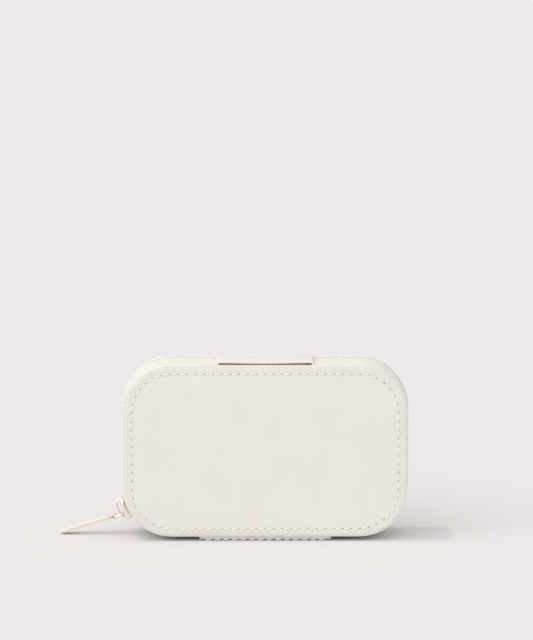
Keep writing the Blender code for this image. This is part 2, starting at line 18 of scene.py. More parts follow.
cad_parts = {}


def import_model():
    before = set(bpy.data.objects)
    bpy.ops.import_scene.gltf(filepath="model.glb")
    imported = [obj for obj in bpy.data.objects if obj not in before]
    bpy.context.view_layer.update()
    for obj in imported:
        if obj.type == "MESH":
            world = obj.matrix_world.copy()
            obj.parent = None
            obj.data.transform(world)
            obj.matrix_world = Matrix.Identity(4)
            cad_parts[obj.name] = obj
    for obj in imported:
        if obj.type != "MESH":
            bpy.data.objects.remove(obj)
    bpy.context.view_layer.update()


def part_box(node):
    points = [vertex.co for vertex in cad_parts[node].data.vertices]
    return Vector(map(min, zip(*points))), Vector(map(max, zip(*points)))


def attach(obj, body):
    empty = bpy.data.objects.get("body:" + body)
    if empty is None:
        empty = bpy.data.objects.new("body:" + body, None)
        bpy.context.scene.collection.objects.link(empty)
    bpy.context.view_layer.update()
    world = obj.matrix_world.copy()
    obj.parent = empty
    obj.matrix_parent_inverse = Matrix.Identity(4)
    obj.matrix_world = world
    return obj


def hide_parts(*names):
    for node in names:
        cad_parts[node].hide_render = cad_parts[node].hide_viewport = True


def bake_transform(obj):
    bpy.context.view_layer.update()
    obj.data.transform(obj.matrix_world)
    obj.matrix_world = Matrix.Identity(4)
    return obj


LOG = logging.getLogger("jewelry_box")
MM = 0.001
CORNER_RADIUS = 27.0 * MM
CORNER_STEPS = 18
STRAP_THICKNESS = 1.35 * MM
SLIT_CLEARANCE = 0.05 * MM
X_AXIS = Vector((1.0, 0.0, 0.0))
Y_AXIS = Vector((0.0, 1.0, 0.0))
Z_AXIS = Vector((0.0, 0.0, 1.0))

Colour = tuple[float, float, float]
Piece = bpy.types.Object
Span = tuple[float, float]


class Side(Enum):
    """The two halves of the case."""

    FRONT = "front"
    BACK = "back"

    @property
    def sign(self) -> int:
        """Return -1 for the front half and +1 for the back half."""
        return -1 if self is Side.FRONT else 1

    @property
    def body(self) -> str:
        """Return the name of the body that this half rides on."""
        return "lid" if self is Side.FRONT else "back_half"


# ---------------------------------------------------------------- finishes


def srgb(red: float, green: float, blue: float) -> Colour:
    """Turn a display colour into a linear one.

    Args:
        red: Red, from 0 to 1.
        green: Green, from 0 to 1.
        blue: Blue, from 0 to 1.

    Returns:
        The same colour, linear.
    """
    return tuple(((c + 0.055) / 1.055) ** 2.4 if c > 0.04045 else c / 12.92
                 for c in (red, green, blue))


class Shading:
    """Adds and links the shader nodes of one material."""

    def __init__(self, name: str, colour: Colour, roughness: float) -> None:
        """Start a material.

        Args:
            name: The material's name.
            colour: Its base colour, linear.
            roughness: Its roughness.
        """
        self.material = bpy.data.materials.new(name)
        self.material.use_nodes = True
        self.material.diffuse_color = (*colour, 1.0)
        self.tree = self.material.node_tree
        self.shader = self.tree.nodes["Principled BSDF"]
        self.shader.inputs["Base Color"].default_value = (*colour, 1.0)
        self.shader.inputs["Roughness"].default_value = roughness
        self.place = self.add("ShaderNodeTexCoord").outputs["Object"]

    def add(self, kind: str, inputs: dict | None = None, **settings: object) -> bpy.types.Node:
        """Add a node.

        Args:
            kind: The node's type.
            inputs: Socket names and what goes in: a value, or another node's output.
            settings: The node's own properties.

        Returns:
            The new node.
        """
        node = self.tree.nodes.new(kind)
        for key, value in settings.items():
            setattr(node, key, value)
        for key, value in (inputs or {}).items():
            if isinstance(value, bpy.types.NodeSocket):
                self.tree.links.new(value, node.inputs[key])
            else:
                node.inputs[key].default_value = value
        return node

    def noise(self, size: float, detail: float = 2.0) -> bpy.types.NodeSocket:
        """Return a soft noise whose blobs have about this size in metres."""
        node = self.add("ShaderNodeTexNoise", {"Vector": self.place, "Scale": 1 / size, "Detail": detail})
        return node.outputs["Fac"]

    def remap(self, value: bpy.types.NodeSocket, low: Span, high: Span) -> bpy.types.NodeSocket:
        """Return a value moved from the range low to the range high."""
        node = self.add("ShaderNodeMapRange", {
            "Value": value, "From Min": low[0], "From Max": low[1], "To Min": high[0], "To Max": high[1]})
        return node.outputs["Result"]

    def blend_colours(self, factor: bpy.types.NodeSocket, first: Colour, second: Colour) -> None:
        """Colour the surface between two colours.

        Args:
            factor: Where the surface lies between them, from 0 to 1.
            first: The colour at 0.
            second: The colour at 1.
        """
        node = self.add("ShaderNodeMix", {"Factor": factor}, data_type="RGBA")
        node.inputs[6].default_value = (*first, 1.0)
        node.inputs[7].default_value = (*second, 1.0)
        self.tree.links.new(node.outputs[2], self.shader.inputs["Base Color"])

    def roughen(self, value: bpy.types.NodeSocket, low: float, high: float) -> None:
        """Vary the roughness between two values."""
        spread = self.remap(value, (0.35, 0.65), (low, high))
        self.tree.links.new(spread, self.shader.inputs["Roughness"])

    def emboss(self, layers: Sequence[tuple[bpy.types.NodeSocket, float, float]]) -> None:
        """Raise the surface by several height layers.

        Args:
            layers: For each layer its height, its strength and its depth in metres.
        """
        normal = None
        for height, strength, depth in layers:
            inputs = {"Height": height, "Strength": strength, "Distance": depth}
            if normal is not None:
                inputs["Normal"] = normal
            normal = self.add("ShaderNodeBump", inputs).outputs["Normal"]
        self.tree.links.new(normal, self.shader.inputs["Normal"])


def shade(colour: Colour, share: float) -> Colour:
    """Return a colour darkened to a share of its brightness, a little warmer."""
    return (colour[0] * share, colour[1] * share * 0.985, colour[2] * share * 0.965)


@dataclass(frozen=True)
class Leather:
    """Grained leather: pebbles with fine creases between them, the creases painted darker as shade."""

    name: str
    colour: Colour
    pebble: float = 1.1 * MM
    depth: float = 0.10 * MM
    strength: float = 0.35
    roughness: Span = (0.42, 0.56)
    # How bright the painted shade in the creases is, as a share of the colour.
    crease_shade: float = 0.955

    def build(self) -> bpy.types.Material:
        """Make the material."""
        work = Shading(self.name, self.colour, self.roughness[1])
        warp = work.add("ShaderNodeTexNoise", {"Vector": work.place, "Scale": 0.35 / self.pebble})
        shifted = work.add("ShaderNodeVectorMath", {0: warp.outputs["Color"], 1: (self.pebble * 1.4,) * 3},
                           operation="MULTIPLY")
        moved = work.add("ShaderNodeVectorMath", {0: work.place, 1: shifted.outputs["Vector"]},
                         operation="ADD")
        cells = work.add("ShaderNodeTexVoronoi", {"Vector": moved.outputs["Vector"],
                                                  "Scale": 1 / self.pebble, "Smoothness": 0.6},
                         feature="SMOOTH_F1")
        pebbles = work.remap(cells.outputs["Distance"], (0.05, 0.62), (1.0, 0.0))
        pores = work.noise(0.22 * MM, 3.0)
        undulation = work.noise(9 * MM, 1.0)
        mottle = work.noise(24 * MM, 3.0)
        # Painted shade darkens the creases between pebbles; a random mottle of real tone is mixed in.
        crease_shade_and_mottle = work.add("ShaderNodeMath", {0: work.remap(pebbles, (0.0, 1.0), (0.0, 0.5)),
                                           1: work.remap(mottle, (0.3, 0.7), (0.0, 0.5))},
                        operation="ADD")
        work.blend_colours(crease_shade_and_mottle.outputs[0], shade(self.colour, self.crease_shade), self.colour)
        work.roughen(pores, *self.roughness)
        work.emboss([(undulation, 0.25, 0.25 * MM), (pebbles, self.strength, self.depth),
                     (pores, 0.12, 0.03 * MM)])
        work.shader.inputs["IOR"].default_value = 1.45
        return work.material


@dataclass(frozen=True)
class Fabric:
    """Soft suede-like cloth with a short nap."""

    name: str
    colour: Colour
    nap: float = 0.35 * MM
    sheen: float = 0.25

    def build(self) -> bpy.types.Material:
        """Make the material."""
        work = Shading(self.name, self.colour, 0.88)
        nap = work.noise(self.nap, 4.0)
        brushed = work.noise(11 * MM, 2.0)
        work.blend_colours(work.remap(brushed, (0.3, 0.7), (0.0, 1.0)), shade(self.colour, 0.90), self.colour)
        work.emboss([(brushed, 0.2, 0.3 * MM), (nap, 0.45, 0.08 * MM)])
        work.shader.inputs["Sheen Weight"].default_value = self.sheen
        work.shader.inputs["Sheen Roughness"].default_value = 0.5
        return work.material


@dataclass(frozen=True)
class Ribbon:
    """Woven tape or elastic whose ribs follow each other along one axis."""

    name: str
    colour: Colour
    rib: float
    direction: str = "Y"

    def build(self) -> bpy.types.Material:
        """Make the material."""
        work = Shading(self.name, self.colour, 0.8)
        ribs = work.add("ShaderNodeTexWave", {"Vector": work.place, "Scale": 0.314 / self.rib,
                                              "Distortion": 0.4, "Detail": 1.0},
                        bands_direction=self.direction)
        fibres = work.noise(0.2 * MM, 3.0)
        work.blend_colours(ribs.outputs["Fac"], shade(self.colour, 0.86), self.colour)
        work.emboss([(ribs.outputs["Fac"], 0.5, 0.08 * MM), (fibres, 0.35, 0.04 * MM)])
        return work.material


@dataclass(frozen=True)
class Thread:
    """Waxed sewing thread."""

    name: str
    colour: Colour

    def build(self) -> bpy.types.Material:
        """Make the material."""
        work = Shading(self.name, self.colour, 0.6)
        twist = work.noise(0.28 * MM, 2.0)
        work.blend_colours(twist, shade(self.colour, 0.88), self.colour)
        work.emboss([(twist, 0.4, 0.06 * MM)])
        return work.material


@dataclass(frozen=True)
class Metal:
    """Polished plated metal with faint handling marks."""

    name: str
    colour: Colour
    roughness: Span = (0.16, 0.28)
    marks: float = 0.06

    def build(self) -> bpy.types.Material:
        """Make the material."""
        work = Shading(self.name, self.colour, self.roughness[0])
        smudge = work.noise(2.4 * MM, 3.0)
        work.blend_colours(smudge, shade(self.colour, 0.94), self.colour)
        work.roughen(smudge, *self.roughness)
        if self.marks > 0:
            work.emboss([(work.noise(0.5 * MM, 2.0), self.marks, 0.02 * MM)])
        work.shader.inputs["Metallic"].default_value = 1.0
        return work.material


@dataclass(frozen=True)
class Moulded:
    """A plain finish with a fine speckle: moulded plastic, a painted or raw edge, board, or painted shade in
    a hole or gap.
    """

    name: str
    colour: Colour
    roughness: Span = (0.32, 0.42)

    def build(self) -> bpy.types.Material:
        """Make the material."""
        work = Shading(self.name, self.colour, self.roughness[1])
        speckle = work.noise(0.6 * MM, 2.0)
        work.blend_colours(speckle, shade(self.colour, 0.93), self.colour)
        work.roughen(speckle, *self.roughness)
        work.emboss([(speckle, 0.1, 0.02 * MM)])
        return work.material


class Palette:
    """Every finish of the box, each made once."""

    def __init__(self) -> None:
        """Make the materials."""
        cream = (0.796, 0.769, 0.737)
        self.smooth_leather = Leather("smooth_cream_leather", cream, strength=0.14).build()
        # The pebbled leather gets deeper painted shade in its creases.
        self.pebbled_leather = Leather("pebbled_cream_leather", cream, 1.3 * MM, 0.2 * MM, 0.8,
                                       crease_shade=0.915).build()
        # Painted light: the walls wear a lighter copy of the cream leather, standing in for the light on the
        # top and side walls.
        self.wall_leather = Leather("wall_cream_leather_painted_lighter", (0.822, 0.80, 0.77), 1.2 * MM, 0.15 * MM,
                                    0.7).build()
        self.strap_leather = Leather("strap_leather", (0.80, 0.768, 0.728), strength=0.3).build()
        self.edge_paint = Moulded("sand_edge_paint", srgb(0.91, 0.885, 0.845), (0.5, 0.65)).build()
        # Partly the strap's real raw back, partly painted shade: its dark tan browns the shadow in the gap
        # under the strap.
        self.raw_back_and_gap_shade = Moulded("tan_leather_back", srgb(0.70, 0.50, 0.38), (0.8, 0.9)).build()
        # Painted shade: the dark colour of the needle holes' cups stands in for the shade inside each hole.
        self.needle_hole = Moulded("needle_hole", srgb(0.52, 0.46, 0.40), (0.8, 0.9)).build()
        self.thread = Thread("cream_thread", (0.89, 0.87, 0.84)).build()
        self.lining = Fabric("cream_suede_lining", srgb(0.915, 0.885, 0.845)).build()
        self.roll_suede = Fabric("ring_roll_suede", srgb(0.93, 0.905, 0.865), sheen=0.35).build()
        self.gathered_cloth = Fabric("pocket_cloth", srgb(0.91, 0.87, 0.81), nap=0.25 * MM).build()
        self.tape = Ribbon("zipper_tape_weave", srgb(0.955, 0.935, 0.905), 0.5 * MM).build()
        self.elastic = Ribbon("pocket_elastic_weave", srgb(0.90, 0.86, 0.80), 0.55 * MM, "Z").build()
        self.teeth = Moulded("cream_zipper_teeth", srgb(0.95, 0.93, 0.905)).build()
        self.gold = Metal("pale_gold", srgb(0.96, 0.935, 0.895), (0.26, 0.38)).build()
        self.mirror = Metal("silvered_glass", (0.90, 0.92, 0.92), (0.015, 0.03), marks=0.0).build()
        self.card = Moulded("grey_board", srgb(0.66, 0.60, 0.52), (0.85, 0.95)).build()


# ---------------------------------------------------------------- modelling by hand


def deselect_all() -> None:
    """Leave nothing selected, in object mode."""
    active = bpy.context.view_layer.objects.active
    if active is not None and active.mode != "OBJECT":
        bpy.ops.object.mode_set(mode="OBJECT")
    bpy.ops.object.select_all(action="DESELECT")


def activate(*pieces: Piece) -> None:
    """Make some pieces the only selected ones, and the first of them active."""
    deselect_all()
    for piece in pieces:
        piece.select_set(True)
    bpy.context.view_layer.objects.active = pieces[0]


def join(pieces: Sequence[Piece]) -> Piece:
    """Join pieces into the first of them, and return it."""
    activate(*pieces)
    bpy.ops.object.join()
    return pieces[0]


def settle(piece: Piece) -> Piece:
    """Put a piece's place, turn and scale into its mesh, and return it."""
    activate(piece)
    bpy.ops.object.transform_apply(location=True, rotation=True, scale=True)
    return piece


def block(name: str, x: Span, y: Span, z: Span) -> Piece:
    """Add a block between limits along each axis.

    Args:
        name: The piece's name.
        x: Lowest and highest X.
        y: Lowest and highest Y.
        z: Lowest and highest Z.

    Returns:
        The block, settled.
    """
    deselect_all()
    limits = (x, y, z)
    bpy.ops.mesh.primitive_cube_add(size=1.0, location=[sum(pair) / 2 for pair in limits])
    piece = bpy.context.object
    piece.name = name
    piece.scale = [pair[1] - pair[0] for pair in limits]
    return settle(piece)


def block_over(name: str, node: str) -> Piece:
    """Add a block that fills a node's box, and return it."""
    return block(name, *zip(*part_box(node)))


def disc(name: str, centre: Sequence[float], radius: float, height: float) -> Piece:
    """Add a short cylinder along Y.

    Args:
        name: The piece's name.
        centre: The cylinder's middle.
        radius: Its radius.
        height: Its length along Y.

    Returns:
        The cylinder, settled.
    """
    deselect_all()
    bpy.ops.mesh.primitive_cylinder_add(vertices=32, radius=radius, depth=height,
                                        location=centre, rotation=(math.pi / 2, 0.0, 0.0))
    piece = bpy.context.object
    piece.name = name
    return settle(piece)


@contextmanager
def editing(piece: Piece, faces: Callable | None = None, edges: Callable | None = None) -> Iterator[None]:
    """Edit a piece with some faces or edges selected.

    Args:
        piece: The piece to edit.
        faces: Says of a face whether it is selected.
        edges: Says of an edge, from its two ends, whether it is selected.

    Yields:
        Nothing, in edit mode.
    """
    activate(piece)
    mesh = piece.data
    for elements in (mesh.vertices, mesh.edges, mesh.polygons):
        elements.foreach_set("select", [False] * len(elements))
    if faces is not None:
        for face in mesh.polygons:
            face.select = bool(faces(face))
    if edges is not None:
        for edge in mesh.edges:
            ends = [mesh.vertices[index].co for index in edge.vertices]
            edge.select = bool(edges(*ends))
    bpy.context.tool_settings.mesh_select_mode = (False, edges is not None, edges is None)
    bpy.ops.object.mode_set(mode="EDIT")
    yield
    bpy.ops.object.mode_set(mode="OBJECT")


def bevel_edges(piece: Piece, test: Callable, width: float, segments: int) -> None:
    """Round the edges that a test picks out."""
    with editing(piece, edges=test):
        bpy.ops.mesh.bevel(offset=width, segments=segments, profile=0.5, affect="EDGES",
                           clamp_overlap=False)


def inset_steps(piece: Piece, faces: Callable, steps: Iterable[Span]) -> None:
    """Inset faces several times.

    Args:
        piece: The piece to shape.
        faces: Says of a face whether it is inset.
        steps: For each inset, how far it goes in and how far it rises.
    """
    with editing(piece, faces=faces):
        for inward, rise in steps:
            bpy.ops.mesh.inset(thickness=inward, depth=rise, use_even_offset=True)


def subdivide_along(piece: Piece, axis: int, cuts: int) -> None:
    """Cut a piece across into slices.

    Args:
        piece: The piece to cut.
        axis: The axis that the slices follow: 0, 1 or 2 for X, Y or Z.
        cuts: How many cuts there are.
    """
    def runs_along(first: Vector, second: Vector) -> bool:
        """Say whether an edge runs along the axis."""
        step = second - first
        return step.length > 0 and abs(step[axis]) > 0.95 * step.length

    with editing(piece, edges=runs_along):
        bpy.ops.mesh.subdivide(number_cuts=cuts)


def modify(piece: Piece, kind: str, **settings: object) -> None:
    """Add a modifier and apply it.

    Args:
        piece: The piece to change.
        kind: The modifier's type.
        settings: The modifier's own properties.
    """
    activate(piece)
    modifier = piece.modifiers.new(kind.lower(), kind)
    for key, value in settings.items():
        setattr(modifier, key, value)
    bpy.ops.object.modifier_apply(modifier=modifier.name)


def round_off(piece: Piece, width: float, segments: int = 3, angle: float = 50.0) -> None:
    """Round every edge that is sharper than an angle in degrees."""
    modify(piece, "BEVEL", width=width, segments=segments, limit_method="ANGLE",
           angle_limit=math.radians(angle))


def subtract(piece: Piece, cutter: Piece) -> None:
    """Cut one piece with another, and remove the cutter."""
    modify(piece, "BOOLEAN", operation="DIFFERENCE", solver="EXACT", object=cutter)
    bpy.data.objects.remove(cutter, do_unlink=True)


def rounded_by(radius: float, from_edge: float) -> float:
    """Return how far a rounded edge draws back at a distance from the edge."""
    short = max(0.0, radius - from_edge)
    return radius - math.sqrt(max(0.0, radius ** 2 - short ** 2))


def along_y(first: Vector, second: Vector) -> bool:
    """Say whether an edge runs along Y."""
    step = second - first
    return step.length > 0 and abs(step.y) > 0.99 * step.length


def shape_by(piece: Piece, move: Callable[[Vector], Sequence[float]]) -> None:
    """Move every point of a piece.

    Args:
        piece: The piece to shape.
        move: Says where a point goes.
    """
    for vertex in piece.data.vertices:
        vertex.co = move(vertex.co.copy())
    piece.data.update()


def outward(piece: Piece) -> None:
    """Merge doubles and turn every face outwards."""
    with editing(piece, faces=lambda face: True):
        bpy.ops.mesh.remove_doubles(threshold=0.002 * MM)
        bpy.ops.mesh.normals_make_consistent(inside=False)


def wire(name: str, points: Sequence[Sequence[float]], radius: float, closed: bool) -> Piece:
    """Bend a round wire through points and make it a mesh.

    Args:
        name: The piece's name.
        points: The wire's centre line.
        radius: The wire's radius.
        closed: Whether its ends meet.

    Returns:
        The wire.
    """
    curve = bpy.data.curves.new(name, "CURVE")
    curve.dimensions = "3D"
    curve.bevel_depth = radius
    curve.bevel_resolution = 4
    curve.use_fill_caps = not closed
    spline = curve.splines.new("POLY")
    spline.points.add(len(points) - 1)
    for target, place in zip(spline.points, points):
        target.co = (*place, 1.0)
    spline.use_cyclic_u = closed
    piece = bpy.data.objects.new(name, curve)
    bpy.context.collection.objects.link(piece)
    activate(piece)
    bpy.ops.object.convert(target="MESH")
    piece = bpy.context.object
    outward(piece)
    return piece


def strip(name: str, route: Sequence[Span], y: Span, thickness: float, rounding: float) -> Piece:
    """Make a flat strip with rounded edges and bend it along a route in the XZ plane.

    Args:
        name: The piece's name.
        route: The strip's middle line, as X and Z; each point becomes one slice.
        y: The strip's two edges.
        thickness: The strip's thickness.
        rounding: The radius of its long edges.

    Returns:
        The strip.
    """
    last = len(route) - 1
    piece = block(name, (0.0, 1.0), y, (-thickness / 2, thickness / 2))
    bevel_edges(piece, lambda first, second: abs(first.x - second.x) > 0.5, rounding, 3)
    subdivide_along(piece, 0, last - 1)

    def bend(point: Vector) -> Vector:
        """Lay a point of the straight strip beside the route."""
        index = round(point.x * last)
        before, after = route[max(index - 1, 0)], route[min(index + 1, last)]
        along = Vector((after[0] - before[0], 0.0, after[1] - before[1])).normalized()
        out = Vector((-along.z, 0.0, along.x))
        return Vector((route[index][0], point.y, route[index][1])) + out * point.z

    shape_by(piece, bend)
    outward(piece)
    return piece


def copies(name: str, original: Piece, places: Iterable[Matrix]) -> Piece:
    """Copy a small piece to many places, join the copies, and remove the original.

    Args:
        name: The joined piece's name.
        original: The small piece, at the origin.
        places: One matrix for each copy.

    Returns:
        The joined piece.
    """
    made = []
    for place in places:
        copy = bpy.data.objects.new(name, original.data.copy())
        copy.data.transform(place)
        bpy.context.collection.objects.link(copy)
        made.append(copy)
    bpy.data.objects.remove(original, do_unlink=True)
    return join(made)


def smooth(piece: Piece, angle: float = 40.0) -> None:
    """Shade a piece smooth up to an angle in degrees."""
    activate(piece)
    bpy.ops.object.shade_smooth_by_angle(angle=math.radians(angle))


def dress(piece: Piece, *materials: bpy.types.Material) -> None:
    """Give a piece its materials.

    Args:
        piece: The piece to dress.
        materials: Its materials; a face has the first one unless it is told otherwise.
    """
    piece.data.materials.clear()
    for material in materials:
        piece.data.materials.append(material)


def finish_piece(piece: Piece, body: str, slot: str, *replaced: str) -> None:
    """Let a piece ride on its body, and hide the nodes that it stands for.

    Args:
        piece: The finished piece.
        body: The body it rides on.
        slot: Not used.
        replaced: The nodes that it replaces.
    """
    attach(piece, body)
    if replaced:
        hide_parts(*replaced)
    LOG.info("%s rides on %s", piece.name, body)


def complete(piece: Piece, look: bpy.types.Material, angle: float, body: str, slot: str,
             *replaced: str) -> None:
    """Dress a piece in one material, shade it smooth and finish it.

    Args:
        piece: The shaped piece.
        look: Its material.
        angle: The angle in degrees up to which it is shaded smooth.
        body: The body it rides on.
        slot: The record's material slot.
        replaced: The nodes that it replaces.
    """
    dress(piece, look)
    smooth(piece, angle)
    finish_piece(piece, body, slot, *replaced)


def redress(node: str, material: bpy.types.Material) -> None:
    """Give a CAD node a better material.

    Args:
        node: The node's name.
        material: The material for all its slots.
    """
    piece = bpy.data.objects[node]
    for slot in piece.material_slots:
        slot.material = material


# ---------------------------------------------------------------- the case's outline


@dataclass(frozen=True)
class CasePath:
    """The rounded outline of the case at one corner radius.

    Distances along it start at the middle of the bottom and go left, seen from the front.
    """

    radius: float
    corner_x: float
    low_z: float
    high_z: float

    def at(self, radius: float) -> CasePath:
        """Return the outline with the same corner centres and another radius."""
        return CasePath(radius, self.corner_x, self.low_z, self.high_z)

    @property
    def quarter(self) -> float:
        """Return the length of one corner."""
        return math.pi / 2 * self.radius

    @property
    def length(self) -> float:
        """Return the whole way round."""
        return 4 * self.quarter + 4 * self.corner_x + 2 * (self.high_z - self.low_z)

    def point(self, distance: float) -> tuple[Vector, Vector]:
        """Return the place and the outward direction at a distance along the outline.

        Args:
            distance: How far along, from the bottom's middle to the left.

        Returns:
            The place and the direction, both in the XZ plane.
        """
        rise = self.high_z - self.low_z
        left, right = -self.corner_x, self.corner_x
        stretches = (
            (self.corner_x, (0.0, self.low_z), 270.0, 0.0),
            (self.quarter, (left, self.low_z), 270.0, -90.0),
            (rise, (left, self.low_z), 180.0, 0.0),
            (self.quarter, (left, self.high_z), 180.0, -90.0),
            (2 * self.corner_x, (left, self.high_z), 90.0, 0.0),
            (self.quarter, (right, self.high_z), 90.0, -90.0),
            (rise, (right, self.high_z), 0.0, 0.0),
            (self.quarter, (right, self.low_z), 0.0, -90.0),
            (self.corner_x, (right, self.low_z), 270.0, 0.0),
        )
        rest = distance % self.length
        for span, (x, z), start, turn in stretches:
            if rest <= span + 1e-9:
                break
            rest -= span
        angle = math.radians(start + turn * rest / span)
        out = Vector((math.cos(angle), 0.0, math.sin(angle)))
        along = Vector((-out.z, 0.0, out.x)) * -1.0
        start_of_line = Vector((x, 0.0, z)) + out * self.radius
        return (start_of_line if turn else start_of_line + along * rest), out

    def on_rim(self, distance: float, y: float) -> Matrix:
        """Return a frame on the rim: X along the outline, Y across the wall, Z outwards."""
        place, out = self.point(distance)
        return frame_matrix(place + Y_AXIS * y, Y_AXIS.cross(out), out)

    def on_panel(self, distance: float, y: float, facing: int) -> Matrix:
        """Return a frame on a panel: X along the outline, Z out of the panel."""
        place, out = self.point(distance)
        return frame_matrix(place + Y_AXIS * y, Y_AXIS.cross(out), Y_AXIS * facing)

    def outward(self, x: float, z: float) -> Vector:
        """Find the direction out of the case beside a point near its outline.

        Args:
            x: The point's X.
            z: The point's Z.

        Returns:
            The direction, in the XZ plane.
        """
        near_x = max(-self.corner_x, min(self.corner_x, x))
        near_z = max(self.low_z, min(self.high_z, z))
        return Vector((x - near_x, 0.0, z - near_z)).normalized()

    def inside(self, x: float, z: float) -> float:
        """Find how far inside the outline a point lies.

        Args:
            x: The point's X.
            z: The point's Z.

        Returns:
            The distance, less than 0 outside.
        """
        over_x = abs(x) - self.corner_x
        middle = (self.low_z + self.high_z) / 2
        over_z = abs(z - middle) - (self.high_z - self.low_z) / 2
        outside = math.hypot(max(over_x, 0.0), max(over_z, 0.0))
        return self.radius - outside - min(max(over_x, over_z), 0.0)


@dataclass(frozen=True)
class Draft:
    """How the walls lean inwards on their way from the zipper to the panels."""

    depth: float = 1.05 * MM
    side_share: float = 0.5
    near: float = 4.2 * MM
    front: float = 23.6 * MM
    back: float = 19.6 * MM

    def at(self, y: float) -> float:
        """Find how far the top wall has leant in.

        Args:
            y: The place across the case.

        Returns:
            The distance it has leant in by there.
        """
        far = self.front if y < 0 else self.back
        share = max(0.0, (abs(y) - self.near) / (far - self.near))
        return self.depth * share ** 1.15

    def share(self, out: Vector) -> float:
        """Return a wall's share of the lean: all of it above and below, less at the sides."""
        return self.side_share + (1.0 - self.side_share) * abs(out.z) ** 3


def frame_matrix(place: Vector, along: Vector, up: Vector) -> Matrix:
    """Make the matrix of a frame.

    Args:
        place: The frame's origin.
        along: The direction of its X.
        up: The direction of its Z.

    Returns:
        The matrix.
    """
    across = up.cross(along)
    turned = Matrix((along, across, up)).transposed().to_4x4()
    return Matrix.Translation(place) @ turned


def rounded_plate(name: str, path: CasePath, y: Span) -> Piece:
    """Make a plate with the case's outline.

    Args:
        name: The piece's name.
        path: The outline.
        y: Its two faces.

    Returns:
        The plate.
    """
    half = path.corner_x + path.radius
    plate = block(name, (-half, half), y, (path.low_z - path.radius, path.high_z + path.radius))
    bevel_edges(plate, along_y, path.radius, CORNER_STEPS)
    return plate


def case_tube(name: str, path: CasePath, y: Span, thickness: float) -> Piece:
    """Make a wall that follows the case's outline.

    Args:
        name: The piece's name.
        path: The outline of its outer side.
        y: Its two edges.
        thickness: Its thickness, inwards.

    Returns:
        The wall.
    """
    tube = rounded_plate(name, path, y)
    with editing(tube, faces=lambda face: abs(face.normal.y) > 0.9):
        bpy.ops.mesh.delete(type="ONLY_FACE")
    modify(tube, "SOLIDIFY", thickness=thickness, offset=-1.0, use_even_offset=True)
    return tube


# ---------------------------------------------------------------- stitches and teeth


@dataclass(frozen=True)
class Seam:
    """A row of stitches: its pitch, and the sizes of its thread and its needle holes."""

    pitch: float = 4.7 * MM
    length: float = 3.6 * MM
    width: float = 0.82 * MM
    height: float = 0.6 * MM
    slant: float = math.radians(5.0)
    hole_radius: float = 0.62 * MM
    cup_radius: float = 0.45 * MM

    def stitch(self) -> Piece:
        """Model one stitch: a plump thread whose ends dive into the leather.

        Returns:
            The stitch, at the origin.
        """
        deselect_all()
        bpy.ops.mesh.primitive_uv_sphere_add(segments=8, ring_count=8, radius=0.5,
                                             rotation=(0.0, math.pi / 2, 0.0))
        thread = bpy.context.object
        thread.name = "stitch"
        settle(thread)
        half = self.length / 2

        def lay(point: Vector) -> tuple[float, float, float]:
            """Draw the ball out into a blunt thread and bend its ends down."""
            along = math.copysign(abs(2 * point.x) ** 0.75, point.x) * half
            dive = 0.8 * self.height * abs(along / half) ** 4
            return (along, point.y * self.width, point.z * 2 * self.height - dive)

        shape_by(thread, lay)
        thread.data.transform(Matrix.Rotation(self.slant, 4, "Z"))
        smooth(thread, 80.0)
        return thread

    def hole(self, leather: bpy.types.Material, dark: bpy.types.Material) -> Piece:
        """Model one needle hole: a small puckered ring round a cup painted dark as the shade inside the hole.

        Args:
            leather: The ring's material.
            dark: The cup's material, painted shade.

        Returns:
            The hole, at the origin.
        """
        deselect_all()
        bpy.ops.mesh.primitive_cylinder_add(vertices=10, radius=self.hole_radius, depth=0.2 * MM,
                                            location=(0.0, 0.0, -0.06 * MM))
        hole = bpy.context.object
        hole.name = "needle_hole"
        settle(hole)
        inset_steps(hole, lambda face: face.normal.z > 0.9,
                    [(0.12 * MM, 0.03 * MM), (0.08 * MM, -0.03 * MM), (0.05 * MM, -0.06 * MM)])
        # The cup takes the painted shade; the ring takes the leather.
        dress(hole, leather, dark)
        for face in hole.data.polygons:
            reach = max(math.hypot(*hole.data.vertices[i].co[:2]) for i in face.vertices)
            face.material_index = 1 if reach < self.cup_radius else 0
        smooth(hole, 60.0)
        return hole

    def sew(self, name: str, places: Iterable[Matrix], thread: bpy.types.Material) -> Piece:
        """Sew one row.

        Args:
            name: The row's name.
            places: One matrix for each stitch.
            thread: The thread's material.

        Returns:
            The row.
        """
        row = copies(name, self.stitch(), places)
        dress(row, thread)
        return row


@dataclass(frozen=True)
class Tooth:
    """One moulded tooth: a base on the tape, and a head that reaches over the seam."""

    half_width: float = 0.47 * MM
    half_height: float = 0.92 * MM
    base: Span = (0.45 * MM, 1.75 * MM)
    shoulder: float = 0.14 * MM
    neck: float = 0.25 * MM
    head: float = 0.5 * MM
    head_flare: float = 1.25

    def mould(self, y: Span, sign: int) -> Piece:
        """Model the tooth.

        Args:
            y: The base's two ends.
            sign: -1 for a tooth of the front half, +1 for one of the back half.

        Returns:
            The tooth, at the origin.
        """
        tooth = block("tooth", (-self.half_width, self.half_width), y, (-self.half_height, self.half_height))
        with editing(tooth, faces=lambda face: face.normal.y * sign < -0.9):
            bpy.ops.mesh.inset(thickness=self.shoulder, depth=0.0)
            bpy.ops.transform.translate(value=(0.0, -sign * self.neck, 0.0))
            bpy.ops.mesh.extrude_region_move(TRANSFORM_OT_translate={"value": (0.0, -sign * self.head, 0.0)})
            bpy.ops.transform.resize(value=(self.head_flare, 1.0, 1.0))
        round_off(tooth, 0.1 * MM, 1, 40.0)
        smooth(tooth, 50.0)
        return tooth


# ---------------------------------------------------------------- the two halves


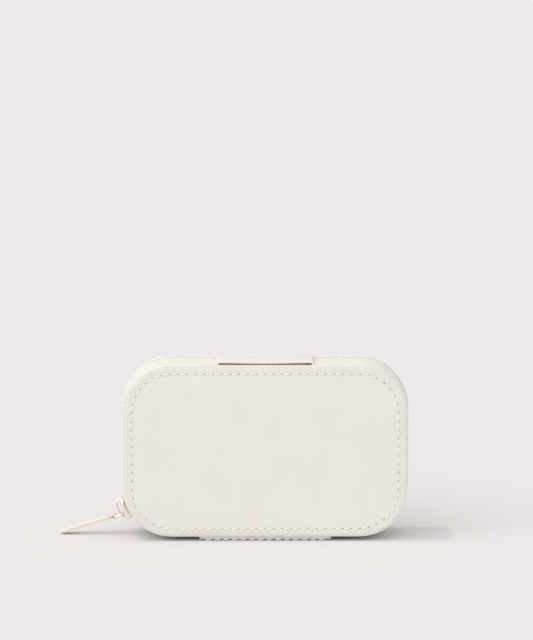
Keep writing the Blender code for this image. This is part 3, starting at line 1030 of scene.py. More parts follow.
@dataclass
class CaseHalf:
    """One half of the case: leather skins, lining, sewing and its side of the zipper."""

    side: Side
    path: CasePath
    palette: Palette
    slits: list[tuple[Span, Span]] = field(default_factory=list)
    panel_seam: Seam = Seam()
    edge_seam: Seam = Seam(pitch=2.6 * MM, length=2.1 * MM, width=0.4 * MM, height=0.22 * MM)
    tooth: Tooth = Tooth()
    draft: Draft = Draft()
    wall_thickness: float = 1.0 * MM
    inner_relief: float = 0.62
    rim_width: float = 1.43 * MM
    rim_drop: float = 0.47 * MM
    seam_inset: float = 5.35 * MM
    groove_depth: float = 0.27 * MM
    thread_lift: float = 0.10 * MM
    hole_lift: float = 0.07 * MM
    edge_seam_inset: float = 1.7 * MM
    edge_thread_lift: float = 0.06 * MM
    lining_inset: float = 3.2 * MM
    lining_start: float = 0.5 * MM
    lining_thickness: float = 0.8 * MM
    tape_lift: float = 0.25 * MM
    tape_reach: Span = (1.1 * MM, 4.15 * MM)
    tape_thickness: float = 0.5 * MM
    tooth_pitch: float = 2.0 * MM
    open_gap: float = 0.8 * MM
    travel_gap: float = 0.55 * MM
    slider_stop: float = 0.0
    slider_travel: float = 13.5 * MM
    zipper_sink: float = 0.38 * MM

    def name(self, part: str) -> str:
        """Return a part's name on this half."""
        return f"{self.side.value}_{part}"

    def across(self, near: float, far: float) -> Span:
        """Return a Y range from distances off the zipper's middle."""
        ends = (self.side.sign * near, self.side.sign * far)
        return (min(ends), max(ends))

    def build(self) -> None:
        """Build and dress the whole half."""
        self.build_wall()
        self.build_panel()
        self.build_panel_sewing()
        self.build_edge_sewing()
        self.build_lining()
        self.build_tape()
        self.build_teeth()
        redress(self.name("panel_board"), self.palette.card)
        redress(self.name("wall_board"), self.palette.lining)
        for end in ("left", "right"):
            redress(self.name(f"stop_{end}"), self.palette.gold)

    def outer_face(self, node: str) -> float:
        """Return how far a node's outer face is from the zipper's middle."""
        low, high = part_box(self.name(node))
        return max(abs(low.y), abs(high.y))

    def inner_face(self, node: str) -> float:
        """Return how far a node's inner face is from the zipper's middle."""
        low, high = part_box(self.name(node))
        return min(abs(low.y), abs(high.y))

    def strip_end(self, margin: float) -> float:
        """Return the X at a margin past the hinge strip's end."""
        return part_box("hinge_strip_back")[1].x + margin

    def build_wall(self) -> None:
        """Build the leather wall with turned edges and, on the lid, slits for the strap."""
        outer = self.outer_face("wall_leather")
        wall = case_tube(self.name("wall_skin"), self.path,
                         self.across(self.inner_face("wall_leather"), outer), self.wall_thickness)
        rim = self.side.sign * outer
        subdivide_along(wall, 1, 7)

        def lean(point: Vector) -> Vector:
            """Lean a point of the wall inwards, its inner side less than its outer one."""
            out = self.path.outward(point.x, point.z)
            on_outside = self.path.inside(point.x, point.z) < self.wall_thickness / 2
            share = self.draft.share(out) - (0.0 if on_outside else self.inner_relief)
            return point - out * (share * self.draft.at(point.y))

        def on_rim(first: Vector, second: Vector) -> bool:
            """Say whether an edge lies on the rim that meets the panel."""
            flat = abs(first.y - rim) < 0.01 * MM and abs(second.y - rim) < 0.01 * MM
            return flat and (first - second).length > 0

        shape_by(wall, lean)
        with editing(wall, edges=on_rim):
            bpy.ops.mesh.bevel(offset=0.12 * MM, segments=3, profile=0.5, affect="EDGES")
        round_off(wall, 0.22 * MM, 2, 60.0)
        for x_range, y_range in self.slits:
            top = self.path.high_z + self.path.radius
            subtract(wall, block("slit", x_range, y_range, (top - 3 * MM, top + 3 * MM)))
        # The wall's leather is lighter than the panels' as painted light.
        complete(wall, self.palette.wall_leather, 40.0, self.side.body, "leather", self.name("wall_leather"))

    def build_panel(self) -> None:
        """Build the panel's leather: rounded rim, pressed stitch line, slightly filled middle."""
        edge = self.path.at(self.path.radius - self.rim_width)
        panel = rounded_plate(self.name("panel_skin"), edge, self.across(
            self.inner_face("panel_leather"), self.outer_face("panel_leather") - self.rim_drop))
        facing = self.side.sign
        to_groove = self.seam_inset - self.rim_width
        steps = [
            (0.10 * MM, 0.06 * MM), (0.22 * MM, 0.14 * MM), (0.38 * MM, 0.11 * MM), (0.50 * MM, 0.04 * MM),
            (to_groove - 1.9 * MM, 0.0), (0.35 * MM, -0.04 * MM), (0.35 * MM, -0.11 * MM),
            (0.35 * MM, 0.11 * MM), (0.45 * MM, 0.05 * MM), (1.4 * MM, 0.06 * MM), (3.0 * MM, 0.06 * MM),
            (6.0 * MM, 0.02 * MM),
        ]
        inset_steps(panel, lambda face: face.normal.y * facing > 0.9, steps)
        self.give_body(panel)
        dress(panel, self.palette.pebbled_leather, self.palette.smooth_leather)
        for face in panel.data.polygons:
            depth = self.path.inside(face.center.x, face.center.z)
            face.material_index = 1 if depth > self.seam_inset + 0.3 * MM else 0
        smooth(panel, 60.0)
        finish_piece(panel, self.side.body, "leather", self.name("panel_leather"))

    def give_body(self, panel: Piece) -> None:
        """Fit the panel to its leaning wall, and let its skin swell a little, as leather does.

        Args:
            panel: The panel.
        """
        facing = self.side.sign
        fitted_to, fitted_over = 4.7 * MM, 3.2 * MM

        def swell(point: Vector) -> Vector:
            """Raise a point by its ripple, and widen the rim where the wall leans less."""
            ripple = noise.noise(point * 90.0) * 0.05 * MM
            out = self.path.outward(point.x, point.z)
            near_rim = min(1.0, max(0.0, (fitted_to - self.path.inside(point.x, point.z)) / fitted_over))
            wider = near_rim * self.draft.depth * (1.0 - self.draft.share(out))
            return point + Vector((0.0, facing * ripple, 0.0)) + out * wider

        shape_by(panel, swell)

    def build_panel_sewing(self) -> None:
        """Sew the panel's border: a thread between each pair of needle holes."""
        line = self.path.at(self.path.radius - self.seam_inset)
        count = round(line.length / self.panel_seam.pitch)
        pitch = line.length / count
        facing = self.side.sign
        groove = facing * (self.outer_face("panel_leather") - self.groove_depth)
        row = self.panel_seam.sew(self.name("panel_stitches"), [
            line.on_panel((number + 0.5) * pitch, groove + facing * self.thread_lift, facing)
            for number in range(count)], self.palette.thread)
        finish_piece(row, self.side.body, "leather")
        # Each hole's cup is painted dark as the shade inside it.
        hole = self.panel_seam.hole(self.palette.pebbled_leather, self.palette.needle_hole)
        holes = copies(self.name("panel_needle_holes"), hole, [
            line.on_panel(number * pitch, groove + facing * self.hole_lift, facing)
            for number in range(count)])
        finish_piece(holes, self.side.body, "leather")

    def build_edge_sewing(self) -> None:
        """Sew the fine row that holds the zipper tape under the wall's edge."""
        y = self.side.sign * (self.inner_face("wall_leather") + self.edge_seam_inset)
        count = round(self.path.length / self.edge_seam.pitch)
        pitch = self.path.length / count
        strip_half = self.strip_end(2 * MM)
        spots = [(number + 0.5) * pitch for number in range(count)]
        shown = [spot for spot in spots if strip_half < spot < self.path.length - strip_half]
        lifted = self.path.at(self.path.radius + self.edge_thread_lift)
        scale = lifted.length / self.path.length
        row = self.edge_seam.sew(self.name("edge_stitches"),
                                 [lifted.on_rim(spot * scale, y) for spot in shown], self.palette.thread)
        finish_piece(row, self.side.body, "leather")

    def build_lining(self) -> None:
        """Build the suede tray that lines this half."""
        outer = self.path.at(self.path.radius - self.lining_inset)
        tray = rounded_plate(self.name("lining_tray"), outer,
                             self.across(self.lining_start, self.outer_face("lining")))
        facing = -self.side.sign
        with editing(tray, faces=lambda face: face.normal.y * facing > 0.9):
            bpy.ops.mesh.delete(type="ONLY_FACE")
        modify(tray, "SOLIDIFY", thickness=self.lining_thickness, offset=-1.0, use_even_offset=True)
        round_off(tray, 0.3 * MM, 3, 60.0)
        complete(tray, self.palette.lining, 40.0, self.side.body, "lining", self.name("lining"))

    def zipper_places(self) -> list[tuple[float, float]]:
        """Find where the teeth stand.

        Returns:
            Each tooth's distance along the outline, and how far it is parted from the seam.
        """
        end = self.strip_end(3.0 * MM)
        count = round((self.path.length - 2 * end) / self.tooth_pitch)
        pitch = (self.path.length - 2 * end) / count
        shift = 0.0 if self.side is Side.FRONT else 0.5
        places = []
        for number in range(count):
            spot = end + (number + shift) * pitch
            if spot < self.slider_stop:
                parted = self.open_gap
            else:
                parted = self.travel_gap if spot < self.slider_stop + self.slider_travel else 0.0
            places.append((spot, parted))
        return places

    def sunk(self, out: Vector) -> float:
        """Return how deep the zipper lies below its level on the top wall, by the way it faces."""
        return self.zipper_sink * (1.0 - out.z ** 2)

    def build_tape(self) -> None:
        """Build the woven tape between the teeth and the wall."""
        tube = case_tube(self.name("tape_band"), self.path.at(self.path.radius + self.tape_lift),
                         self.across(*self.tape_reach), self.tape_thickness)
        end = self.strip_end(0.4 * MM)
        bottom = self.path.low_z - self.path.radius
        subtract(tube, block("strip_gap", (-end, end), (-9 * MM, 9 * MM), (bottom - 3 * MM, bottom + 3 * MM)))

        def sink(point: Vector) -> Vector:
            """Lower a point of the tape by as much as its side of the case asks."""
            out = self.path.outward(point.x, point.z)
            return point - out * self.sunk(out)

        shape_by(tube, sink)
        round_off(tube, 0.12 * MM, 2, 60.0)
        complete(tube, self.palette.tape, 40.0, self.side.body, "tape", self.name("zipper_tape"))

    def build_teeth(self) -> None:
        """Mould the teeth: each one grips the tape and its head reaches between its neighbours."""
        sign = self.side.sign
        tooth = self.tooth.mould(self.across(*self.tooth.base), sign)
        places = []
        for spot, parted in self.zipper_places():
            frame = self.path.on_rim(spot, sign * parted)
            out = frame.col[2].xyz
            places.append(Matrix.Translation(-out * self.sunk(out)) @ frame)
        row = copies(self.name("zipper_teeth"), tooth, places)
        dress(row, self.palette.teeth)
        finish_piece(row, self.side.body, "teeth", self.name("teeth"))


# ---------------------------------------------------------------- strips of leather


@dataclass
class HingeStrip:
    """The strip under the box: one piece of leather that bends at the fold."""

    palette: Palette
    path: CasePath
    seam: Seam = Seam(height=0.5 * MM)
    fold: Span = (0.4 * MM, -2.4 * MM)
    corner: float = 2.5 * MM
    curl: float = 0.9 * MM
    underside: float = 0.4 * MM
    row_inset: float = 0.35 * MM
    row_lift: float = 0.12 * MM
    floor_gap: float = 0.02 * MM
    draft: Draft = Draft()

    def build(self) -> None:
        """Build the strip and its two rows of stitches underneath."""
        front_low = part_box("hinge_strip_front")[0]
        back_low, back_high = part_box("hinge_strip_back")
        bottom = self.underside
        middle, half = (front_low.y + back_high.y) / 2, (back_high.y - front_low.y) / 2
        wall_bottom = self.path.low_z - self.path.radius
        piece = block("hinge_strip", (back_low.x, back_high.x), (front_low.y, back_high.y),
                      (bottom, back_high.z))
        subdivide_along(piece, 1, 99)

        def press(point: Vector) -> tuple[float, float, float]:
            """Round the strip's corners, curl its long edges up and fit it under the walls."""
            y = middle + half * math.sin(math.pi / 2 * (point.y - middle) / half)
            from_edge = half - abs(y - middle)
            x = point.x - math.copysign(rounded_by(self.corner, from_edge), point.x)
            if point.z < bottom + 0.1 * MM:
                return (x, y, bottom + rounded_by(self.curl, from_edge))
            under_wall = wall_bottom + self.draft.at(y) + 0.05 * MM
            return (x, y, under_wall if abs(y) > self.draft.near else point.z)

        shape_by(piece, press)
        dress(piece, self.palette.pebbled_leather)
        smooth(piece)
        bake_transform(piece)
        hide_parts("hinge_strip_front", "hinge_strip_back")
        LOG.info("%s bends between back_half and lid", piece.name)
        for name, y, facing, body in (("hinge_stitches_front", front_low.y, -1, "lid"),
                                      ("hinge_stitches_back", back_high.y, 1, "back_half")):
            edge = Vector((0.0, y - facing * self.row_inset, bottom + self.row_lift))
            self.sew_row(name, edge, facing, back_high.x - 3 * MM, body)

    def sew_row(self, name: str, edge: Vector, facing: int, half: float, body: str) -> None:
        """Sew one row along the strip's curled edge.

        Args:
            name: The row's name.
            edge: The middle of the row.
            facing: -1 at the front edge, +1 at the back one.
            half: Half its length.
            body: The body it rides on.
        """
        count = round(2 * half / self.seam.pitch)
        pitch = 2 * half / count
        out = Vector((0.0, 0.6 * facing, -0.8)).normalized()
        row = self.seam.sew(name, [
            frame_matrix(edge + X_AXIS * (-half + (number + 0.5) * pitch), X_AXIS, out)
            for number in range(count)], self.palette.thread)
        shape_by(row, lambda point: (point.x, point.y, max(point.z, self.floor_gap)))
        finish_piece(row, body, "leather")


@dataclass
class CarryStrap:
    """The slack strap on top: two halves, each from its slit to the middle."""

    palette: Palette
    top_z: float
    sag: float = 0.34 * MM
    bend: float = 1.0 * MM
    lift: float = 0.06 * MM
    end_clearance: float = 0.3 * MM
    bend_below_top: float = 0.4 * MM
    edge_round: float = 0.3 * MM
    draft: Draft = Draft()

    def build(self) -> None:
        """Build both halves."""
        for sign, label in ((-1, "left"), (1, "right")):
            self.build_half(sign, label)

    def build_half(self, sign: int, label: str) -> None:
        """Build one half.

        Args:
            sign: -1 for the left half, +1 for the right one.
            label: The half's name.
        """
        low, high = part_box(f"handle_end_{label}")
        grip_low, grip_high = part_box("handle_grip")
        reach = max(abs(low.x), abs(high.x)) - STRAP_THICKNESS / 2
        level = (grip_low.z + grip_high.z) / 2 + self.lift
        route = [(sign * reach, low.z + self.end_clearance), (sign * reach, self.top_z - self.bend_below_top)]
        for step in range(1, 7):
            angle = math.pi / 2 * step / 6
            route.append((sign * (reach - self.bend * (1 - math.cos(angle))),
                          level - self.bend * (1 - math.sin(angle))))
        inner = reach - self.bend
        for step in range(1, 25):
            share = step / 24
            drop = self.sag * (1 - math.cos(math.pi * share)) / 2
            route.append((sign * inner * (1 - share), level - drop))
        half = strip(f"carry_strap_{label}", route, (low.y, high.y), STRAP_THICKNESS, self.edge_round)
        shape_by(half, lambda point: (point.x, point.y, point.z - self.draft.at(point.y)))
        dress(half, self.palette.strap_leather, self.palette.edge_paint, self.palette.raw_back_and_gap_shade)
        # The sides take edge paint; the underside takes the dark tan back, partly real raw leather and partly
        # painted shade for the gap under the strap.
        for face in half.data.polygons:
            face.material_index = 1 if abs(face.normal.y) > 0.8 else 2 if face.normal.z < -0.7 else 0
        smooth(half, 50.0)
        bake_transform(half)
        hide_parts(f"handle_end_{label}", *(["handle_grip"] if sign < 0 else []))
        LOG.info("%s bends between lid and handle", half.name)


@dataclass
class Slider:
    """The zipper's slider, its bail, and the leather pull."""

    palette: Palette
    path: CasePath
    angle: float = math.radians(29.0)
    length: float = 12.2 * MM
    half_width: float = 3.6 * MM
    outer_plate: Span = (28.7 * MM, 29.9 * MM)
    inner_plate: Span = (24.7 * MM, 25.6 * MM)
    bail_radius: Span = (29.5 * MM, 33.15 * MM)
    bail_half_angle: float = math.radians(10.0)
    bail_wire: float = 0.56 * MM
    bail_tilt: float = math.radians(1.5)
    pin_angle: float = math.radians(32.5)
    pin_radius: float = 31.6 * MM
    opened_past: float = 4.5 * MM

    @property
    def middle(self) -> float:
        """Return the angle of the slider's middle about the lower left corner's centre."""
        return math.pi + self.angle

    @property
    def mean_radius(self) -> float:
        """Return the radius of the middle of the outer plate."""
        return sum(self.outer_plate) / 2

    @property
    def stop(self) -> float:
        """Return how far along the outline the opened teeth end."""
        return self.path.corner_x + self.path.radius * (math.pi / 2 - self.angle) + self.opened_past

    @property
    def pin(self) -> Vector:
        """Return the place on the bail where the pull hangs."""
        return self.about_corner(self.pin_radius, math.pi + self.pin_angle)

    def about_corner(self, radius: float, angle: float, y: float = 0.0) -> Vector:
        """Return a place at a radius and an angle about the lower left corner's centre."""
        return Vector((-self.path.corner_x + radius * math.cos(angle), y,
                       self.path.low_z + radius * math.sin(angle)))

    def build(self) -> None:
        """Build the slider's body and bail."""
        self.build_body()
        self.build_bail()

    def wrap(self, piece: Piece) -> None:
        """Bend a piece from a flat layout, where Z is the radius, onto the lower left corner."""
        shape_by(piece, lambda point: self.about_corner(
            point.z, self.middle - point.x / self.mean_radius, point.y))

    def build_body(self) -> None:
        """Build two tapered plates, the web that joins them, and the bail's lugs."""
        half = self.length / 2
        parts = []
        for name, level, share in (("outer", self.outer_plate, 1.0), ("inner", self.inner_plate, 0.86)):
            plate = block(f"slider_{name}", (-half * share, half * share),
                          (-self.half_width, self.half_width), level)
            subdivide_along(plate, 0, 12)
            self.taper(plate, half * share)
            round_off(plate, 0.28 * MM, 3, 50.0)
            parts.append(plate)
        web = block("slider_web", (-0.6 * half, 0.6 * half), (-0.2 * MM, 0.2 * MM),
                    (self.inner_plate[1] - 0.2 * MM, self.outer_plate[0] + 0.2 * MM))
        subdivide_along(web, 0, 6)
        parts.append(web)
        for end in (-1, 1):
            centre = end * self.bail_half_angle * self.mean_radius
            lug = block("slider_lug", (centre - 1.1 * MM, centre + 1.1 * MM), (-1.5 * MM, 1.5 * MM),
                        (self.outer_plate[1] - 0.3 * MM, self.outer_plate[1] + 0.75 * MM))
            inset_steps(lug, lambda face: face.normal.z > 0.9, [(0.25 * MM, 0.15 * MM)])
            round_off(lug, 0.2 * MM, 2, 20.0)
            parts.append(lug)
        for part in parts:
            self.wrap(part)
        body = join(parts)
        body.name = "slider_plates"
        complete(body, self.palette.gold, 40.0, "slider", "gold", "slider_body")

    def taper(self, plate: Piece, half: float) -> None:
        """Narrow one end and round the other, seen from above.

        Args:
            plate: The plate, laid flat.
            half: Half its length.
        """
        def narrow(point: Vector) -> tuple[float, float, float]:
            """Draw a point in towards the middle by its place along the plate."""
            share = (point.x / half + 1) / 2
            waist = 0.72 + 0.28 * math.sin(math.pi / 2 * min(1.0, share * 1.6))
            nose = math.sqrt(max(0.0, 1 - max(0.0, (share - 0.78) / 0.22) ** 2 * 0.75))
            return (point.x, point.y * waist * nose, point.z)

        shape_by(plate, narrow)

    def build_bail(self) -> None:
        """Bend the wire arch that holds the pull."""
        foot, crown = self.bail_radius
        route = []
        for step in range(25):
            turn = math.pi * step / 24
            rise = math.sin(turn) ** 0.55
            angle = self.middle - math.cos(turn) * self.bail_half_angle - rise * self.bail_tilt
            route.append(self.about_corner(foot + (crown - foot) * rise, angle))
        bail = wire("slider_bail_wire", route, self.bail_wire, closed=False)
        complete(bail, self.palette.gold, 60.0, "slider", "gold", "slider_bail")


@dataclass
class Pull:
    """The wire link and the leather tab folded round it, in a frame at the link's pin."""

    palette: Palette
    pin: Vector
    droop: float = math.radians(16.6)
    link_length: float = 5.5 * MM
    link_half_width: float = 4.35 * MM
    link_wire: float = 0.5 * MM
    reach: float = 36.2 * MM
    half_width: float = 3.5 * MM
    layer: float = 0.8 * MM
    link_corner: float = 1.2 * MM
    loop_gap: float = 0.12 * MM
    fold_gap: float = 0.015 * MM
    fold_length: float = 4.0 * MM
    fold_opening: float = 0.45
    round_over: float = 2.8 * MM
    stitch_offset: float = 2.55 * MM
    rivet_radius: float = 1.3 * MM
    rivet_from_link: float = 3.4 * MM
    seam: Seam = Seam(pitch=2.6 * MM, length=2.0 * MM, width=0.4 * MM, height=0.2 * MM, slant=0.0)

    @property
    def frame(self) -> Matrix:
        """Return the pull's frame: -X runs down along the tab."""
        return Matrix.Translation(self.pin) @ Matrix.Rotation(-self.droop, 4, "Y")

    def place(self, piece: Piece, slot: str, *replaced: str) -> None:
        """Move a piece from the pull's frame to its place and let it ride."""
        piece.data.transform(self.frame)
        finish_piece(piece, "pull", slot, *replaced)

    def build(self) -> None:
        """Build the link, the tab, its stitches and its rivet."""
        self.build_link()
        self.build_tab()
        self.build_stitches()
        self.build_rivet()

    def build_link(self) -> None:
        """Bend the closed wire link with rounded corners."""
        corner = self.link_corner
        points = []
        centres = ((-corner, -1), (-corner, 1), (-self.link_length + corner, 1),
                   (-self.link_length + corner, -1))
        starts = (-90.0, 0.0, 90.0, 180.0)
        for (x, y_sign), start in zip(centres, starts):
            for step in range(5):
                angle = math.radians(start + 22.5 * step)
                points.append((x + corner * math.cos(angle),
                               y_sign * (self.link_half_width - corner) + corner * math.sin(angle), 0.0))
        link = wire("pull_link_wire", points, self.link_wire, closed=True)
        dress(link, self.palette.gold)
        smooth(link, 60.0)
        self.place(link, "gold", "pull_link")

    def build_tab(self) -> None:
        """Fold a strip of leather round the link and back on itself."""
        loop = self.link_wire + self.loop_gap + self.layer / 2
        lift = self.layer / 2 + self.fold_gap
        meet = math.asin(min(1.0, lift / loop)) * 0.5
        straight = self.reach - self.link_length - self.fold_length
        leg = [-self.reach + straight * (step / 12) ** 2 for step in range(13)]
        route = [(x, lift) for x in leg]
        for step in range(17):
            turn = 2 * math.pi - 2 * meet - 2 * self.fold_opening
            angle = math.pi - meet - self.fold_opening - turn * step / 16
            route.append((-self.link_length + loop * math.cos(angle), loop * math.sin(angle)))
        route += [(x, -lift) for x in reversed(leg)]
        tab = strip("pull_tab_leather", route, (-self.half_width, self.half_width), self.layer, 0.14 * MM)
        tip = -self.reach

        def round_tip(point: Vector) -> tuple[float, float, float]:
            """Draw the tab in towards its tip."""
            over = max(0.0, (tip + self.round_over - point.x) / self.round_over)
            return (point.x, point.y * math.sqrt(max(0.05, 1 - 0.75 * over ** 2)), point.z)

        shape_by(tab, round_tip)
        dress(tab, self.palette.strap_leather, self.palette.edge_paint)
        for face in tab.data.polygons:
            at_tip = face.center.x < tip + 0.1 * MM
            face.material_index = 1 if abs(face.normal.y) > 0.55 or at_tip else 0
        smooth(tab, 45.0)
        self.place(tab, "leather", "pull_tab")

    def build_stitches(self) -> None:
        """Sew both edges of the tab, on the upper side."""
        start = -self.link_length - 6.0 * MM
        count = int((self.reach - self.link_length - 9.5 * MM) / self.seam.pitch)
        level = self.layer + 0.05 * MM
        places = [Matrix.Translation((start - number * self.seam.pitch, side * self.stitch_offset, level))
                  for side in (-1, 1) for number in range(count)]
        self.place(self.seam.sew("pull_tab_stitches", places, self.palette.thread), "leather")

    def build_rivet(self) -> None:
        """Turn the small domed rivet that closes the fold."""
        deselect_all()
        centre = (-self.link_length - self.rivet_from_link, 0.0, self.layer + 0.3 * MM)
        bpy.ops.mesh.primitive_cylinder_add(vertices=24, radius=self.rivet_radius, depth=0.45 * MM,
                                            location=centre)
        rivet = settle(bpy.context.object)
        rivet.name = "pull_rivet_head"
        inset_steps(rivet, lambda face: face.normal.z > 0.9, [(0.3 * MM, 0.12 * MM), (0.4 * MM, 0.06 * MM)])
        round_off(rivet, 0.1 * MM, 2, 40.0)
        dress(rivet, self.palette.gold)
        smooth(rivet, 50.0)
        self.place(rivet, "gold", "pull_rivet")


# ---------------------------------------------------------------- inside


@dataclass
class RingTrays:
    """The back half's inside: padded ring rolls and the walls between the trays."""

    palette: Palette
    rolls: int = 7

    def build(self) -> None:
        """Build every roll and divider."""
        for number in range(1, self.rolls + 1):
            self.build_roll(number)
        for name in ("divider_main", "divider_cross", "divider_small"):
            self.build_divider(name)

    def build_roll(self, number: int) -> None:
        """Build one roll: a stuffed tube with sewn ends, a little flat where it meets the next.

        Args:
            number: The roll's number, from the bottom.
        """
        low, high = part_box(f"ring_roll_{number}")
        centre = (low + high) / 2
        radius = (high.y - low.y) / 2
        length = high.x - low.x
        deselect_all()
        bpy.ops.mesh.primitive_cylinder_add(vertices=36, radius=radius, depth=length, location=centre,
                                            rotation=(0.0, math.pi / 2, 0.0))
        roll = settle(bpy.context.object)
        roll.name = f"ring_roll_pad_{number}"
        subdivide_along(roll, 0, 22)
        inset_steps(roll, lambda face: abs(face.normal.x) > 0.9,
                    [(1.0 * MM, 0.15 * MM), (1.6 * MM, -0.25 * MM), (1.0 * MM, -0.3 * MM)])

        def stuff(point: Vector) -> Vector:
            """Pull the roll in at its ends, wrinkle it a little and press it flat above and below."""
            away = length / 2 - abs(point.x - centre.x)
            pull_in = 1 - 0.16 * math.exp(-away / (0.9 * MM))
            offset = point - centre
            wrinkle = 1 + 0.012 * noise.noise(point * 320.0 + Vector((0, 0, number)))
            squeeze = 1 - 0.02 * abs(offset.z / radius) ** 2
            return centre + Vector((offset.x, offset.y * pull_in * wrinkle,
                                    offset.z * pull_in * wrinkle * squeeze))

        shape_by(roll, stuff)
        modify(roll, "SUBSURF", levels=1, render_levels=1)
        complete(roll, self.palette.roll_suede, 60.0, "back_half", "lining", f"ring_roll_{number}")

    def build_divider(self, node: str) -> None:
        """Build one suede-wrapped divider with a rounded, slightly padded edge.

        Args:
            node: The divider's node.
        """
        wall = block_over(f"{node}_wrap", node)
        inset_steps(wall, lambda face: face.normal.y < -0.9, [(0.18 * MM, 0.0), (0.2 * MM, 0.1 * MM)])
        round_off(wall, 0.35 * MM, 4, 40.0)
        complete(wall, self.palette.lining, 60.0, "back_half", "lining", node)


@dataclass
class LidFittings:
    """The lid's inside: mirror, necklace tabs and gathered pocket."""

    palette: Palette
    seam: Seam = Seam(pitch=2.8 * MM, length=2.1 * MM, width=0.42 * MM, height=0.22 * MM, slant=0.0)
    tabs: int = 3
    pleats: int = 13

    def build(self) -> None:
        """Build every fitting."""
        self.build_mirror()
        self.build_necklace_panel()
        for number in range(1, self.tabs + 1):
            self.build_tab(number)
        self.build_pocket()

    def build_mirror(self) -> None:
        """Build the leather frame and the mirror in it."""
        low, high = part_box("mirror_frame")
        glass_low, glass_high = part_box("mirror")
        frame = block_over("mirror_frame_leather", "mirror_frame")
        bevel_edges(frame, along_y, 3.0 * MM, 6)
        margin = 0.2 * MM
        hole = block("mirror_window", (glass_low.x - margin, glass_high.x + margin),
                     (low.y - 2 * MM, high.y + 2 * MM), (glass_low.z - margin, glass_high.z + margin))
        subtract(frame, hole)
        round_off(frame, 0.7 * MM, 4, 60.0)
        complete(frame, self.palette.smooth_leather, 50.0, "lid", "leather", "mirror_frame")

        glass = block_over("mirror_glass", "mirror")
        inset_steps(glass, lambda face: face.normal.y > 0.9, [(1.6 * MM, 0.18 * MM)])
        complete(glass, self.palette.mirror, 5.0, "lid", "mirror", "mirror")

    def build_necklace_panel(self) -> None:
        """Build the padded panel, its rail and their stitching."""
        low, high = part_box("necklace_panel")
        panel = block("necklace_panel_pad", (low.x, high.x), (low.y, high.y - 0.7 * MM), (low.z, high.z))
        bevel_edges(panel, along_y, 4.0 * MM, 8)
        inset_steps(panel, lambda face: face.normal.y > 0.9, [
            (0.25 * MM, 0.25 * MM), (0.5 * MM, 0.15 * MM), (0.6 * MM, 0.0), (0.3 * MM, -0.1 * MM),
            (0.3 * MM, 0.12 * MM), (0.8 * MM, 0.12 * MM), (1.0 * MM, 0.06 * MM)])
        complete(panel, self.palette.smooth_leather, 60.0, "lid", "leather", "necklace_panel")
        self.sew_panel(low, high)

        rail = block_over("necklace_rail_leather", "necklace_rail")
        bevel_edges(rail, along_y, 1.2 * MM, 5)
        round_off(rail, 0.35 * MM, 3, 60.0)
        complete(rail, self.palette.strap_leather, 50.0, "lid", "leather", "necklace_rail")

        for number in range(1, self.tabs + 1):
            low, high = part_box(f"snap_socket_{number}")
            socket = self.turned_stud(f"snap_socket_ring_{number}", low, high, -0.25 * MM)
            finish_piece(socket, "lid", "gold", f"snap_socket_{number}")

    def sew_panel(self, low: Vector, high: Vector) -> None:
        """Sew one row along the panel's top and one along its bottom.

        Args:
            low: The panel's lowest corner.
            high: Its highest corner.
        """
        places = []
        inset = 1.9 * MM
        count = int((high.x - low.x - 12 * MM) / self.seam.pitch)
        start = (low.x + high.x) / 2 - (count - 1) / 2 * self.seam.pitch
        for z in (low.z + inset, high.z - inset):
            for number in range(count):
                place = Vector((start + number * self.seam.pitch, high.y - 0.36 * MM, z))
                places.append(frame_matrix(place, X_AXIS, Y_AXIS))
        finish_piece(self.seam.sew("necklace_panel_stitches", places, self.palette.thread), "lid", "leather")

    def turned_stud(self, name: str, low: Vector, high: Vector, dish: float) -> Piece:
        """Turn a part of a snap, domed or dished on its +Y face.

        Args:
            name: The piece's name.
            low: Its lowest corner.
            high: Its highest corner.
            dish: How far its middle stands out, less than 0 for a dish.

        Returns:
            The part, dressed.
        """
        radius = (high.x - low.x) / 2
        body = abs(dish)
        centre = ((low.x + high.x) / 2, (low.y + high.y - body) / 2, (low.z + high.z) / 2)
        stud = disc(name, centre, radius, high.y - low.y - body)
        inset_steps(stud, lambda face: face.normal.y > 0.9,
                    [(radius * 0.2, dish * 0.35), (radius * 0.25, dish * 0.4), (radius * 0.25, dish * 0.25)])
        round_off(stud, 0.12 * MM, 2, 50.0)
        dress(stud, self.palette.gold)
        smooth(stud, 50.0)
        return stud

    def build_tab(self, number: int) -> None:
        """Build one snap tab with a rounded end, its stitches and its cap.

        Args:
            number: The tab's number, from the left.
        """
        body = f"necklace_tab_body_{number}"
        low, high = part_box(f"necklace_tab_{number}")
        tab = block_over(f"necklace_tab_leather_{number}", f"necklace_tab_{number}")
        half = (high.x - low.x) / 2
        bevel_edges(tab, lambda a, b: along_y(a, b) and a.z < low.z + 1 * MM, half * 0.98, 10)
        round_off(tab, 0.2 * MM, 3, 60.0)
        complete(tab, self.palette.strap_leather, 50.0, body, "leather", f"necklace_tab_{number}")

        count = int((high.z - low.z - 7 * MM) / self.seam.pitch)
        places = []
        for x in (low.x + 0.9 * MM, high.x - 0.9 * MM):
            for step in range(count):
                spot = Vector((x, high.y + 0.02 * MM, high.z - 2.2 * MM - step * self.seam.pitch))
                places.append(frame_matrix(spot, Z_AXIS, Y_AXIS))
        row = self.seam.sew(f"necklace_tab_stitches_{number}", places, self.palette.thread)
        finish_piece(row, body, "leather")

        low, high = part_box(f"snap_cap_{number}")
        cap = self.turned_stud(f"snap_cap_dome_{number}", low - Vector((0, 0.25 * MM, 0)), high, 0.3 * MM)
        finish_piece(cap, body, "gold", f"snap_cap_{number}")

    def build_pocket(self) -> None:
        """Gather a sheet of cloth into a pocket and run its elastic through the top."""
        low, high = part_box("chain_pocket")
        deselect_all()
        bpy.ops.mesh.primitive_grid_add(x_subdivisions=120, y_subdivisions=28, size=1.0,
                                        rotation=(math.pi / 2, 0.0, 0.0))
        pocket = settle(bpy.context.object)
        pocket.name = "chain_pocket_cloth"
        pleats = self.pleats
        hem = 0.5 * MM

